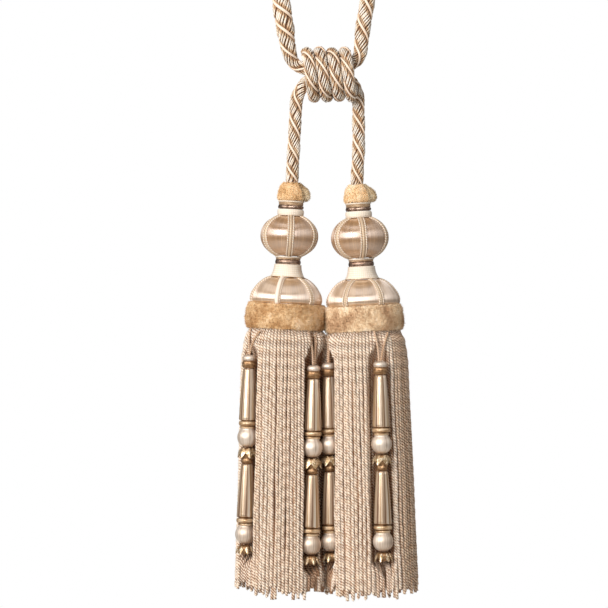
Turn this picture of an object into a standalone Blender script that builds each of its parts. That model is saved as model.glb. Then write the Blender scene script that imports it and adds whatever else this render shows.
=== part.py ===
"""A double curtain tieback: one twisted rope is bound into a barrel knot, and each of its ends carries a tassel.

Every size is in millimetres until an object is made. X runs to the right, Y away from the viewer, Z up.
The origin is where the hook on the wall bears, inside the top of the rope's loop.
"""

import math

import bmesh
import bpy
from mathutils import Vector

MM = 0.001

# Rope
LOOP_RISE = 235.0  # from the hook down to where the two upper ropes hang parallel
ROPE_D = 9.6  # drawn tight: legs and knot
LOOP_D = 10.6  # a little loosened in the loop
SLACK_D = 13.6  # most loosened, above the knot's left end
TWIST_PITCH = 38.0  # one full turn of the two fat strands
SECTION = (0.89, 0.975, 1.0, 0.975, 0.89, 0.975, 1.0, 0.975)  # two strands, a groove between them

# Barrel knot
KNOT_X = 2.2
KNOT_DOWN = 54.8
WRAP_RADIUS = 16.15
WRAP_PITCH = 9.6
WRAP_D = 9.1
WRAP_TURNS = 4
CORE_RADIUS = 6.0  # how far the two crossing ropes run from the knot's axis
CORE_HALF = 15.5

# Tassels: (name, cap's top centre X, its depth below the parallel ropes, lean of the head in degrees, skirt's flare,
# the column of the dome's first raised cord)
TASSELS = (
    ("left", -23.4, 134.2, 3.0, 1.8, 3),
    ("right", 24.3, 135.7, -3.0, 2.9, 2),
)
SKIRT_LEANS = {"left": 0.75, "right": -1.37}  # the strands hang straighter than the heads, in degrees

# Stack of a tassel's head: depths below the cap's top
CAP = (0.0, 13.2)
NECK_BAND = (13.5, 19.2)
NECK_DISC = (19.5, 24.6)
BALL = (24.9, 54.4)
WAIST_BAND = (54.7, 60.0)
COLLAR = (60.3, 69.9)
DOME = (70.2, 89.0)
RUCHE = (89.3, 107.7)
CAP_R, BAND_R, BALL_R, DOME_R, RUCHE_R = 10.4, 9.3, 21.2, 26.8, 28.4
SOCKET_R, SOCKET_DEEP = 5.3, 3.0
RIBS = 6
RIB_RISE = 0.8

# Skirt
OUTER_STRANDS = 56
STRAND_R = 1.4
ROOT_R = 1.05
SKIRT_LONG = 191.0
RECESS_R, RECESS_DEEP = 26.4, 4.2
BACKING_R = 26.0

# Pendants: (name, tassel, angle round the tassel in degrees, drop from the ruche to the cup, outward lean in degrees)
PENDANTS = (
    ("p1", "left", -56.5, 19.9, 1.3),
    ("p2", "left", 50.5, 25.0, 0.9),
    ("p3", "left", 176.0, 22.5, 1.4),
    ("p4", "right", -72.0, 21.7, 0.9),
    ("p5", "right", 19.0, 22.1, 0.9),
    ("p6", "right", 145.0, 23.5, 1.4),
)
PENDANT_OUT = 29.4
PENDANT_R = 7.5
PENDANT_LONG = 147.8

GAP = 0.3

MATERIALS = {
    "rope": ((0.66, 0.52, 0.36, 1.0), 0.85, 0.0),
    "velvet": ((0.72, 0.48, 0.22, 1.0), 0.9, 0.0),
    "bronze": ((0.20, 0.11, 0.055, 1.0), 0.35, 0.6),
    "cream": ((0.88, 0.78, 0.60, 1.0), 0.6, 0.0),
    "satin": ((0.62, 0.46, 0.28, 1.0), 0.3, 0.1),
    "strand": ((0.69, 0.53, 0.34, 1.0), 0.7, 0.0),
    "gimp": ((0.42, 0.27, 0.14, 1.0), 0.5, 0.2),
}


def clear_scene():
    for obj in list(bpy.data.objects):
        bpy.data.objects.remove(obj, do_unlink=True)


def material(name):
    found = bpy.data.materials.get(name)
    if found:
        return found
    colour, rough, metal = MATERIALS[name]
    made = bpy.data.materials.new(name)
    made.use_nodes = True
    shader = made.node_tree.nodes["Principled BSDF"]
    shader.inputs["Base Color"].default_value = colour
    shader.inputs["Roughness"].default_value = rough
    shader.inputs["Metallic"].default_value = metal
    return made


def add_object(name, bm, look, parent=None):
    """Closes off a bmesh in millimetres as one object in metres, smooth but for its sharp edges."""
    bmesh.ops.recalc_face_normals(bm, faces=bm.faces)
    bmesh.ops.scale(bm, vec=Vector((MM, MM, MM)), verts=bm.verts)
    mesh = bpy.data.meshes.new(name)
    bm.to_mesh(mesh)
    bm.free()
    mesh.shade_smooth()
    mesh.set_sharp_from_angle(angle=math.radians(50))
    mesh.materials.append(material(look))
    obj = bpy.data.objects.new(name, mesh)
    bpy.context.collection.objects.link(obj)
    obj.parent = parent
    return obj


def smooth_step(t):
    t = min(1.0, max(0.0, t))
    return t * t * (3.0 - 2.0 * t)


# --- curves -----------------------------------------------------------------


def through(points, per_span=24):
    """A smooth curve through the points. A point may carry a fourth value, its diameter, which is blended along."""
    dense = []
    last = len(points) - 1
    for i in range(last):
        p0, p1 = points[max(i - 1, 0)], points[i]
        p2, p3 = points[i + 1], points[min(i + 2, last)]
        for j in range(per_span):
            t = j / per_span
            dense.append(
                tuple(
                    0.5 * (2 * b + (c - a) * t + (2 * a - 5 * b + 4 * c - d) * t * t + (3 * b - a - 3 * c + d) * t**3)
                    for a, b, c, d in zip(p0, p1, p2, p3)
                )
            )
    dense.append(points[-1])
    return dense


def relax(points, rounds):
    """Evens out the curvature, with the ends held."""
    for _ in range(rounds):
        points = (
            [points[0]]
            + [
                tuple(0.25 * a + 0.5 * b + 0.25 * c for a, b, c in zip(points[i - 1], points[i], points[i + 1]))
                for i in range(1, len(points) - 1)
            ]
            + [points[-1]]
        )
    return points


def spaced(points, step):
    """Points at even distances along the curve, as near to the step as its length allows, and that distance."""
    marks = [0.0]
    for a, b in zip(points, points[1:]):
        marks.append(marks[-1] + math.dist(a[:3], b[:3]))
    count = max(2, round(marks[-1] / step))
    out, j = [], 0
    for i in range(count + 1):
        at = marks[-1] * i / count
        while j < len(marks) - 2 and marks[j + 1] < at:
            j += 1
        t = (at - marks[j]) / (marks[j + 1] - marks[j])
        out.append(tuple(a + (b - a) * t for a, b in zip(points[j], points[j + 1])))
    return out, marks[-1] / count


def sweep(bm, path, section, turn_per_step, radius_of):
    """A closed tube along the path. Its section turns by the same angle at each step, against the clock."""
    count = len(section)
    tangents = []
    for i in range(len(path)):
        a, b = path[max(i - 1, 0)], path[min(i + 1, len(path) - 1)]
        tangents.append((Vector(b[:3]) - Vector(a[:3])).normalized())
    side = tangents[0].orthogonal().normalized()
    rings = []
    for i, tangent in enumerate(tangents):
        side = (side - tangent * side.dot(tangent)).normalized()
        other = tangent.cross(side)
        ring = []
        for k in range(count):
            angle = 2 * math.pi * k / count - i * turn_per_step
            out = side * math.cos(angle) + other * math.sin(angle)
            ring.append(bm.verts.new(Vector(path[i][:3]) + out * radius_of(i) * section[k]))
        rings.append(ring)
    for a, b in zip(rings, rings[1:]):
        for k in range(count):
            bm.faces.new((a[k], a[(k + 1) % count], b[(k + 1) % count], b[k]))
    bm.faces.new(rings[0][::-1])
    bm.faces.new(rings[-1])


# --- rope and knot ------------------------------------------------------------


def down(depth):
    return -(LOOP_RISE + depth)


def rope_route():
    """Points of the rope's centre line, each with its diameter: left tassel, knot, loop, knot, right tassel."""
    sink = SOCKET_DEEP - GAP
    leg_left = [
        (TASSELS[0][1], 0.0, down(TASSELS[0][2] + sink)),
        (-23.3, 0.0, down(126.0)),
        (-22.3, 0.0, down(110.0)),
        (-21.4, 0.0, down(93.0)),
        (-20.7, 0.6, down(80.0)),
        (-19.6, 1.4, down(70.5)),
    ]
    loop = [
        (25.6, -0.6, down(42.5), ROPE_D),
        (27.4, -0.4, down(31.5), 11.2),
        (29.0, 0.0, down(17.0), 11.6),
        (32.0, 0.0, down(0.0), 11.4),
        (36.0, 0.0, down(-45.0), LOOP_D),
        (39.5, 0.0, down(-100.0), LOOP_D),
        (39.5, 0.0, down(-155.0), LOOP_D),
        (33.0, 0.0, down(-202.0), LOOP_D),
        (18.5, 0.0, down(-231.0), LOOP_D),
        (0.0, 0.0, LOOP_D / 2, LOOP_D),
        (-18.5, 0.0, down(-231.0), LOOP_D),
        (-33.0, 0.0, down(-202.0), LOOP_D),
        (-39.5, 0.0, down(-155.0), LOOP_D),
        (-39.5, 0.0, down(-100.0), 11.4),
        (-36.0, 0.0, down(-45.0), 13.0),
        (-31.6, 0.0, down(0.0), SLACK_D),
        (-29.0, 0.2, down(17.5), SLACK_D),
        (-27.2, 1.2, down(30.0), 12.4),
        (-24.8, 3.4, down(40.5), 10.4),
        (-21.2, 5.0, down(47.0), ROPE_D),
    ]
    leg_right = [
        (22.6, 6.2, down(63.0)),
        (25.2, 8.0, down(71.5)),
        (25.4, 6.6, down(81.0)),
        (25.6, 3.0, down(97.0)),
        (25.4, 0.6, down(112.0)),
        (24.55, 0.0, down(126.0)),
        (TASSELS[1][1], 0.0, down(TASSELS[1][2] + sink)),
    ]

    def core(start, end, swing, lead):
        """A rope's run inside the wrap, partly round the other rope, by the front or the back."""
        run = []
        for i in range(5):
            t = i / 4
            angle = lead + (math.pi - 2 * lead) * t
            run.append(
                (
                    KNOT_X + CORE_HALF * (2 * t - 1) * start,
                    swing * CORE_RADIUS * math.sin(angle),
                    down(KNOT_DOWN) + end * CORE_RADIUS * math.cos(angle),
                    ROPE_D,
                )
            )
        return run

    first = [p + (ROPE_D,) for p in leg_left] + core(1, -1, -1, 0.0)
    second = core(1, 1, 1, math.radians(45)) + [p + (ROPE_D,) for p in leg_right]
    return first + loop + second


def wrap_route():
    """Centre line of the barrel's turns. It slants a little more in front, and its ends are tucked in at the top and the bottom."""
    points = []
    start, end = -math.radians(90), 2 * math.pi * (WRAP_TURNS - 1) + math.radians(82)
    steps = 16 * WRAP_TURNS
    for i in range(steps + 1):
        angle = start + (end - start) * i / steps
        turn = angle / (2 * math.pi)
        points.append(
            (
                KNOT_X + (turn - (WRAP_TURNS - 1) / 2) * WRAP_PITCH + 0.5 * math.sin(angle),
                -WRAP_RADIUS * math.cos(angle),
                down(KNOT_DOWN) - WRAP_RADIUS * math.sin(angle) * (1.0 + 0.03 * math.sin(2.4 * turn)),
            )
        )
    return points


def add_cord(name, route, diameter_of, look="rope"):
    path, step = spaced(relax(through(route), 60), TWIST_PITCH / 8)
    bm = bmesh.new()
    sweep(bm, path, SECTION, 2 * math.pi * step / TWIST_PITCH, lambda i: diameter_of(path[i]) / 2)
    bmesh.ops.triangulate(bm, faces=bm.faces)
    return add_object(name, bm, look), path


# --- turned pieces ------------------------------------------------------------


def turned(profile, columns, bulge=None):
    """A solid of revolution from (radius, depth) pairs that start and end on the axis. bulge(angle, radius, depth) adds to the radius."""
    bm = bmesh.new()
    rows = []
    for radius, depth in profile:
        if radius == 0.0:
            rows.append([bm.verts.new((0.0, 0.0, -depth))])
            continue
        row = []
        for k in range(columns):
            angle = 2 * math.pi * k / columns
            r = radius + (bulge(k, angle, radius, depth) if bulge else 0.0)
            row.append(bm.verts.new((r * math.sin(angle), -r * math.cos(angle), -depth)))
        rows.append(row)
    for a, b in zip(rows, rows[1:]):
        for k in range(columns):
            n = (k + 1) % columns
            corners = (a[0], b[n], b[k]) if len(a) == 1 else (a[k], a[n], b[0]) if len(b) == 1 else (a[k], a[n], b[n], b[k])
            bm.faces.new(corners)
    bmesh.ops.triangulate(bm, faces=bm.faces)
    return bm


def ribbed(first):
    """Raised cords that run down a floss-covered mould of 24 columns, an even count of them from that column on."""
    return lambda k, angle, radius, depth: RIB_RISE if k % (24 // RIBS) == first else 0.0


def cap_bulge(k, angle, radius, depth):
    """The ribbon's tucked end stands out at the cap's right side, and the pile makes the rest a little uneven."""
    if radius < 7.0 or depth > CAP[1] - 0.5:
        return 0.0
    tail = {3: 1.2, 4: 3.6, 5: 2.6}.get(k, 0.0) * smooth_step((depth - 1.0) / 4.0)
    return tail + 0.25 * math.sin(3 * angle + depth)


def ruche_bulge(k, angle, radius, depth):
    """Soft gathers of the velvet band."""
    if radius < 27.0 or depth > RUCHE[1] - 0.5:
        return 0.0
    return 0.25 * math.sin(5 * angle + 0.35 * depth) - 0.2 * (k % 2)


def add_head(name, look_parent, dome_cord):
    """The fitted pieces of one tassel's head, top to bottom."""
    top, low = CAP
    cap = (
        (0.0, top + SOCKET_DEEP), (SOCKET_R, top + SOCKET_DEEP), (SOCKET_R, top), (7.2, top + 0.7), (9.0, top + 3.6),
        (10.0, top + 7.5), (CAP_R, top + 11.2), (9.6, low), (0.0, low),
    )
    add_object(f"cap_{name}", turned(cap, 16, cap_bulge), "velvet", look_parent)

    top, low = NECK_BAND
    band = ((0.0, top), (9.5, top), (9.9, top + 0.7), (BAND_R, top + 1.4), (BAND_R, low), (0.0, low))
    add_object(f"neck_band_{name}", turned(band, 16), "bronze", look_parent)

    top, low = NECK_DISC
    disc = ((0.0, top), (9.2, top), (9.8, (top + low) / 2), (9.3, low), (0.0, low))
    add_object(f"neck_disc_{name}", turned(disc, 16), "cream", look_parent)

    top, low = BALL
    middle, half = (top + low) / 2, (low - top) / 2
    rows = [(BALL_R * math.cos(math.radians(a)) ** 0.85, middle - half * math.sin(math.radians(a)) / math.sin(math.radians(68))) for a in (68, 48, 27, 6, -16, -38, -54, -68)]
    ball = [(0.0, top)] + rows + [(0.0, low)]
    add_object(f"ball_{name}", turned(ball, 24, ribbed(0)), "satin", look_parent)

    top, low = WAIST_BAND
    waist = ((0.0, top), (8.9, top), (9.6, top + 0.9), (8.9, top + 1.9), (9.4, top + 2.4), (9.4, low), (0.0, low))
    add_object(f"waist_band_{name}", turned(waist, 16), "bronze", look_parent)

    top, low = COLLAR
    collar = ((0.0, top), (9.9, top), (10.2, top + 3.6), (11.3, top + 7.4), (12.3, low), (0.0, low))
    add_object(f"collar_{name}", turned(collar, 16), "cream", look_parent)

    top, low = DOME
    dome = (
        (0.0, top), (11.6, top), (17.6, top + 2.4), (22.4, top + 6.6), (25.4, top + 11.8), (DOME_R, top + 17.0),
        (DOME_R, low), (0.0, low),
    )
    add_object(f"dome_{name}", turned(dome, 24, lambda k, a, r, d: 0.0 if d > low - 0.5 else ribbed(dome_cord)(k, a, r, d)), "satin", look_parent)

    top, low = RUCHE
    ruche = (
        (0.0, top), (25.6, top), (27.6, top + 2.4), (RUCHE_R, top + 7.2), (RUCHE_R, top + 12.6), (27.8, top + 16.8),
        (27.3, low), (RECESS_R, low), (RECESS_R, low - RECESS_DEEP), (0.0, low - RECESS_DEEP),
    )
    add_object(f"ruche_{name}", turned(ruche, 24, ruche_bulge), "velvet", look_parent)


# --- pendants -------------------------------------------------------------------


def drop_profile(long_top, long_low, small, wide):
    """A turned drop: a cone that widens downwards, a ring under it, and a ball."""
    return [
        (0.0, long_top), (small, long_top), (small + 0.3, long_top + 1.5), (wide, long_low - 1.2), (wide - 1.0, long_low),
        (wide, long_low + 1.2), (wide, long_low + 3.6), (4.7, long_low + 6.2),
        (6.7, long_low + 8.9), (PENDANT_R, long_low + 13.0), (6.7, long_low + 17.0), (4.1, long_low + 19.4), (0.0, long_low + 20.1),
    ]


def petals(profile, deep):
    """Twelve columns make six petals: the odd columns lie in the notches."""
    return turned(profile, 12, lambda k, angle, radius, depth: -deep * radius / 6.0 if k % 2 and radius > 2.6 else 0.0)


def add_pendant(name, tassel, tilt_parent, angle, drop, lean):
    """One pendant: its cord, cup, two drops and two rings of petals, hung just outside the strands."""
    ang = math.radians(angle)
    hang = bpy.data.objects.new(f"{name}_hang", None)
    hang.empty_display_size = 0.004
    bpy.context.collection.objects.link(hang)
    hang.parent = tilt_parent
    outward = Vector((math.sin(ang), -math.cos(ang), 0.0))
    hang.location = (outward * PENDANT_OUT + Vector((0.0, 0.0, -(RUCHE[1] + drop)))) * MM
    head_lean = next(t[3] for t in TASSELS if t[0] == tassel)
    hang.rotation_euler = (0.0, math.radians(math.copysign(lean, head_lean) - head_lean), 0.0)

    sideways = Vector((math.cos(ang), math.sin(ang), 0.0))
    inward = -outward * (PENDANT_OUT - 26.9)
    rise = drop - GAP - 0.9
    route = []
    for side, height in ((-1.1, 0.05), (-1.9, 0.4 * rise), (-2.3, 0.7 * rise), (-1.6, 0.93 * rise), (0.0, rise), (1.6, 0.93 * rise), (2.3, 0.7 * rise), (1.9, 0.4 * rise), (1.1, 0.05)):
        point = sideways * side + inward * (height / rise) ** 1.3 + Vector((0.0, 0.0, height))
        route.append(tuple(point))
    path, _ = spaced(through(route, 8), drop / 4.5)
    bm = bmesh.new()
    sweep(bm, path, (1.0, 1.0, 1.0), 0.0, lambda i: 0.8)
    bmesh.ops.triangulate(bm, faces=bm.faces)
    add_object(f"{name}_hanger", bm, "strand", hang)

    cup = ((0.0, 0.3), (2.8, 0.3), (4.8, 2.4), (5.0, 4.8), (5.2, 8.8), (4.5, 10.0), (0.0, 10.0))
    add_object(f"{name}_cup", turned(cup, 10), "cream", hang)
    add_object(f"{name}_drop_a", turned(drop_profile(10.3, 47.8, 4.3, 6.6), 8), "satin", hang)
    upper = ((0.0, 68.3), (3.0, 68.8), (5.2, 70.9), (7.4, 75.0), (4.3, 76.2), (4.0, 79.8), (0.0, 79.8))
    add_object(f"{name}_petals_a", petals(upper, 1.6), "gimp", hang)
    add_object(f"{name}_drop_b", turned(drop_profile(80.1, 118.6, 4.3, 6.7), 8), "satin", hang)
    lower = ((0.0, 139.1), (3.2, 139.6), (5.6, 142.2), (6.9, 147.4), (3.0, 145.4), (0.0, 145.0))
    add_object(f"{name}_petals_b", petals(lower, 1.7), "gimp", hang)
    return hang


def pendant_centre(row, tassel, depth):
    """Where a pendant's axis stands in a tassel's own frame, at a depth below the ruche."""
    name, owner, angle, drop, lean = row
    head = {t[0]: t for t in TASSELS}
    ang = math.radians(angle)
    own = head[owner]
    slip = math.radians(math.copysign(lean, own[3]) - own[3])
    x = PENDANT_OUT * math.sin(ang) - math.tan(slip) * (depth - drop)
    y = -PENDANT_OUT * math.cos(ang)
    if owner != tassel:
        # From the owner's frame to this tassel's, through the shared frame.
        mine = head[tassel]
        long = RUCHE[1] + depth
        x += own[1] - mine[1] - math.sin(math.radians(own[3])) * long + math.sin(math.radians(mine[3])) * long
    return x, y


# --- skirt ------------------------------------------------------------------------


def room_round(row, depth):
    """The clear radius that the strands leave round a pendant at a depth below the ruche."""
    drop = row[3]
    full = PENDANT_R + STRAND_R + 0.9
    slim = 2.4 + STRAND_R + 0.5
    if depth < drop:
        return slim + (full - slim) * smooth_step((depth - 8.0) / (drop - 8.0))
    past = depth - (drop + PENDANT_LONG)
    return full * (1.0 - 0.75 * smooth_step(past / 22.0)) if past > 0 else full


def part_round(x, y, tassel, depth, drift):
    """Moves a strand's point off each pendant in its way, along the near side of a circle round it."""
    for row in PENDANTS:
        cx, cy = pendant_centre(row, tassel, depth)
        cx -= drift * max(depth, 0.0)
        room = room_round(row, depth)
        far, radius = math.hypot(cx, cy), math.hypot(x, y)
        if far > radius + room or far < 1.0:
            continue
        reach = (radius * radius + far * far - room * room) / (2 * radius * far)
        if not -1.0 < reach < 1.0:
            continue
        widest = math.acos(reach)
        away = math.atan2(x, -y) - math.atan2(cx, -cy)
        away = (away + math.pi) % (2 * math.pi) - math.pi
        if abs(away) >= widest:
            continue
        edge = math.atan2(radius * math.sin(widest), far - radius * math.cos(widest))
        swing = away / widest * edge
        along, across = far - room * math.cos(swing), room * math.sin(swing)
        direction = math.atan2(cx, -cy)
        x = along * math.sin(direction) + across * math.cos(direction)
        y = -along * math.cos(direction) + across * math.sin(direction)
    return x, y


def add_skirt(name, parent, flare, head_lean):
    """Strands of three sides whose roots are one with the backing disc in the ruche's recess."""
    bm = bmesh.new()
    columns = OUTER_STRANDS
    face_low = RUCHE[1] - RECESS_DEEP + GAP  # the backing's top, against the recess's roof
    under = face_low + 2.6
    drift = math.tan(math.radians(head_lean)) - math.tan(math.radians(SKIRT_LEANS[name]))

    def ring(radius, depth):
        return [
            bm.verts.new((radius * math.sin(2 * math.pi * k / columns), -radius * math.cos(2 * math.pi * k / columns), -depth))
            for k in range(columns)
        ]

    rim_top = ring(BACKING_R, face_low)
    rim, r3, r2, r1 = (ring(r, under) for r in (BACKING_R, 22.4, 17.6, 14.0))
    crown, middle = bm.verts.new((0.0, 0.0, -face_low)), bm.verts.new((0.0, 0.0, -under))
    # (centre radius, half width) of the strand's triangle at each depth below the ruche
    outer = ((-1.0, 24.2, ROOT_R), (8.0, 27.8, STRAND_R), (24.0, 28.1, STRAND_R), (172.0, 28.4 + flare, STRAND_R))
    inner = ((-1.0, 15.8, ROOT_R), (90.0, 18.0, 1.3))

    def strand(cell, angle, stations, number):
        """Grows one strand out of a cell of the backing."""
        end = SKIRT_LONG + 3.2 * math.sin(number * 2.399) + 1.8 * math.sin(number * 0.41)
        last = stations[-1][1] + (0.5 if len(stations) > 2 else 0.0)
        stations = stations + ((end, last, stations[-1][2]),)
        rings = []
        for i, (depth, radius, half) in enumerate(stations):
            x, y = radius * math.sin(angle), -radius * math.cos(angle)
            if i and len(stations) > 3:
                x, y = part_round(x, y, name, depth, drift)
            x += drift * max(depth, 0.0)
            low = under if i == 0 else RUCHE[1] + depth
            rings.append(
                [
                    bm.verts.new((x + half * math.sin(angle + a), y - half * math.cos(angle + a), -low))
                    for a in (0.0, math.radians(120), math.radians(240))
                ]
            )
        a, b, c, d = cell  # outer left, outer right, inner right, inner left
        t, right, left = rings[0]
        for corners in ((a, b, t), (b, right, t), (b, c, right), (c, left, right), (c, d, left), (d, a, left), (a, t, left)):
            bm.faces.new(corners)
        for one, two in zip(rings, rings[1:]):
            for k in range(3):
                n = (k + 1) % 3
                bm.faces.new((one[k], one[n], two[n], two[k]))
        bm.faces.new(rings[-1])

    for k in range(columns):
        n = (k + 1) % columns
        angle = 2 * math.pi * (k + 0.5) / columns
        bm.faces.new((crown, rim_top[k], rim_top[n]))
        bm.faces.new((rim_top[k], rim[k], rim[n], rim_top[n]))
        strand((rim[k], rim[n], r3[n], r3[k]), angle, outer, k)
        bm.faces.new((r3[k], r3[n], r2[n], r2[k]))
        if k % 2:
            strand((r2[k], r2[n], r1[n], r1[k]), angle, inner, k + 7)
        else:
            bm.faces.new((r2[k], r2[n], r1[n], r1[k]))
        bm.faces.new((r1[k], r1[n], middle))
    bmesh.ops.triangulate(bm, faces=bm.faces)
    return add_object(f"skirt_{name}", bm, "strand", parent)


def main():
    clear_scene()
    _, rope_path = add_cord("rope", rope_route(), lambda p: p[3])
    _, wrap_path = add_cord("knot_wrap", wrap_route(), lambda p: WRAP_D)
    for name, x, depth, lean, flare, dome_cord in TASSELS:
        head = bpy.data.objects.new(f"tassel_{name}", None)
        head.empty_display_size = 0.01
        bpy.context.collection.objects.link(head)
        head.location = Vector((x, 0.0, down(depth))) * MM
        head.rotation_euler = (0.0, math.radians(lean), 0.0)
        add_head(name, head, dome_cord)
        add_skirt(name, head, flare, lean)
        for row in PENDANTS:
            if row[1] == name:
                add_pendant(row[0], name, head, *row[2:])


main()
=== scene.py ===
# %% [markdown]
# # A curtain tieback with two tassels
#
# The real thing is trimming made by hand. One long twisted rope is bound into a barrel knot, and each of its ends
# carries a tassel: turned wooden moulds covered with silky floss, a velvet cap and a velvet band, a skirt of twisted
# strands and three pendants. This lesson dresses it piece by piece. A fixed model gives every place and size, so each
# new piece is made where that model has its own, and stands for it.

# %% Load the fixed model
import math

import bpy
import numpy as np
from mathutils import Matrix, Vector, noise


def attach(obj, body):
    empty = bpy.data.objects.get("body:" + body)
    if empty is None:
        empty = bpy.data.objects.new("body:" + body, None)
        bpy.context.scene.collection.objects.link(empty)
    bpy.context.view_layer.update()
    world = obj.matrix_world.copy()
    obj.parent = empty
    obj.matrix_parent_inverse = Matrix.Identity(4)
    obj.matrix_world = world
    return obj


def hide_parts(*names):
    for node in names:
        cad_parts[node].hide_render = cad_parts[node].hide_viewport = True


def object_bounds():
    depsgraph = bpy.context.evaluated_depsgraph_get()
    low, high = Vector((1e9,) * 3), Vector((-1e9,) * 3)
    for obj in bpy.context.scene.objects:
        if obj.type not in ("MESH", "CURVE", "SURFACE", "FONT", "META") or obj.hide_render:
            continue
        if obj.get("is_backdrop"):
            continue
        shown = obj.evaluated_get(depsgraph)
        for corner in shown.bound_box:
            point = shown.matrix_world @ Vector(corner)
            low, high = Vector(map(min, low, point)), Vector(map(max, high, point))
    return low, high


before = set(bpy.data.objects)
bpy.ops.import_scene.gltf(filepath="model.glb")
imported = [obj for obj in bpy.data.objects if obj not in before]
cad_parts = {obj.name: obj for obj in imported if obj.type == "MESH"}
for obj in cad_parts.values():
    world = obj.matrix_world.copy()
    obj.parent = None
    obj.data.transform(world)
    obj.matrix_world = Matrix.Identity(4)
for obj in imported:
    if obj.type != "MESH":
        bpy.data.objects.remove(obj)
cad_low, cad_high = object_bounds()
cad_size = [round(1000 * (b - a), 1) for a, b in zip(cad_low, cad_high)]
print("fixed model:", len(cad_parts), "nodes,", cad_size, "mm")

# %% [markdown]
# ## Sizes
#
# Sizes are written in millimetres and turned into metres when a mesh is made. Heights are depths below a point: the
# rope's are counted from where its two upper lengths hang parallel, and a tassel's from the top of its cap. Each
# tassel leans a little, so its pieces are made upright and leaned once.

# %% The two tassels' places
MM = 0.001
TURN = 2 * math.pi
LOOP_RISE = 235.0
TASSELS = {
    "left": {"x": -23.4, "depth": 134.2, "lean": 3.0, "skirt_lean": 0.75, "flare": 1.8},
    "right": {"x": 24.3, "depth": 135.7, "lean": -3.0, "skirt_lean": -1.37, "flare": 2.9},
}


def down(depth):
    return -(LOOP_RISE + depth)


def tassel_place(name):
    """The turn and the move that bring an upright tassel's pieces to their place."""
    row = TASSELS[name]
    move = Matrix.Translation(Vector((row["x"], 0.0, down(row["depth"]))) * MM)
    return move @ Matrix.Rotation(math.radians(row["lean"]), 4, "Y")


def inner_way(name):
    """The angle round a tassel at which it faces the other one."""
    return math.copysign(math.pi / 2, -TASSELS[name]["x"])


print("tassels at", {name: (row["x"], down(row["depth"])) for name, row in TASSELS.items()})

# %% [markdown]
# ## Camera, floor and light
#
# The picture was taken level with the tassels and from far enough to look almost flat, so a long lens stands well
# back. The loop that goes over the wall hook is above the picture, and the floor lies far below it. The light is a
# large soft box at the front left, which draws the bright band on the floss and the bright stripe on each pendant,
# with weak ones above, at the right and behind. The camera sees white behind the object, and the object itself gets a
# softer grey.

# %% Camera
SENSOR, AWAY, SEEN_ACROSS = 36.0, 2.4, 0.447
camera_data = bpy.data.cameras.new("camera")
camera_data.sensor_width = SENSOR
camera_data.lens = SENSOR * AWAY / SEEN_ACROSS
camera_data.clip_end = 30.0
camera = bpy.data.objects.new("camera", camera_data)
camera.location = (-0.0147, -AWAY, -0.4585)
camera.rotation_euler = (math.radians(90.0), 0.0, 0.0)
bpy.context.scene.collection.objects.link(camera)
bpy.context.scene.camera = camera
print("lens", round(camera_data.lens, 1), "mm")

# %% Lights
for name, place, aim, wide, tall, watts in (
    ("tall_box", (-1.05, -1.7, 0.25), -0.42, 1.4, 1.2, 54.0),
    ("top_box", (-0.2, -0.7, 1.1), -0.45, 1.0, 0.7, 5.0),
    ("side_box", (1.6, -0.45, 0.2), -0.35, 0.4, 0.9, 3.5),
    ("back_box", (0.3, 1.9, 0.4), -0.4, 1.4, 1.0, 8.0),
):
    data = bpy.data.lights.new(name, "AREA")
    data.shape, data.size, data.size_y, data.energy = "RECTANGLE", wide, tall, watts
    box = bpy.data.objects.new(name, data)
    box.location = place
    box.rotation_euler = (Vector((0.0, 0.0, aim)) - Vector(place)).to_track_quat("-Z", "Y").to_euler()
    bpy.context.scene.collection.objects.link(box)
    print(name, watts, "W")

# %% Surroundings and floor
AMBIENT, BEHIND = 0.19, 1.0
FLOOR_R, FLOOR_Z = 3.0, -1.5  # in metres
world = bpy.data.worlds.new("studio")
bpy.context.scene.world = world
world.use_nodes = True
sky = world.node_tree.nodes["Background"]
seen = world.node_tree.nodes.new("ShaderNodeLightPath")
strength = world.node_tree.nodes.new("ShaderNodeMapRange")
strength.inputs["To Min"].default_value = AMBIENT
strength.inputs["To Max"].default_value = BEHIND
world.node_tree.links.new(seen.outputs["Is Camera Ray"], strength.inputs["Value"])
world.node_tree.links.new(strength.outputs["Result"], sky.inputs["Strength"])
sky.inputs["Color"].default_value = (1.0, 1.0, 1.0, 1.0)
bpy.context.scene.view_settings.view_transform = "Standard"

bpy.ops.object.select_all(action="DESELECT")
bpy.ops.mesh.primitive_circle_add(vertices=96, radius=FLOOR_R, fill_type="NGON", location=(0.0, 0.0, FLOOR_Z))
floor = bpy.context.object
floor.name = "floor"
floor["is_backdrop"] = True
print("floor at", round(floor.location.z, 2), "m")

# %% [markdown]
# ## How the finishes are made
#
# Every finish starts from one shader. What is the same all over, such as roughness or sheen, is typed into the
# shader's own sockets. What varies comes from a chain of nodes. A chain is easier to read as a sum, so a small class
# stands for the number that a chain works out, and adding to it or multiplying it adds a Math node.

# %% Materials and nodes


def linear(code):
    """A colour code such as D9BE9B as the shader's linear numbers."""
    parts = [int(code[i : i + 2], 16) / 255 for i in (0, 2, 4)]
    return [c / 12.92 if c <= 0.04045 else ((c + 0.055) / 1.055) ** 2.4 for c in parts] + [1.0]


def finish(name, **sockets):
    """A new material, with constants typed into its shader."""
    made = bpy.data.materials.new(name)
    made.use_nodes = True
    for socket, value in sockets.items():
        made.node_tree.nodes["Principled BSDF"].inputs[socket.replace("_", " ")].default_value = value
    return made


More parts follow.
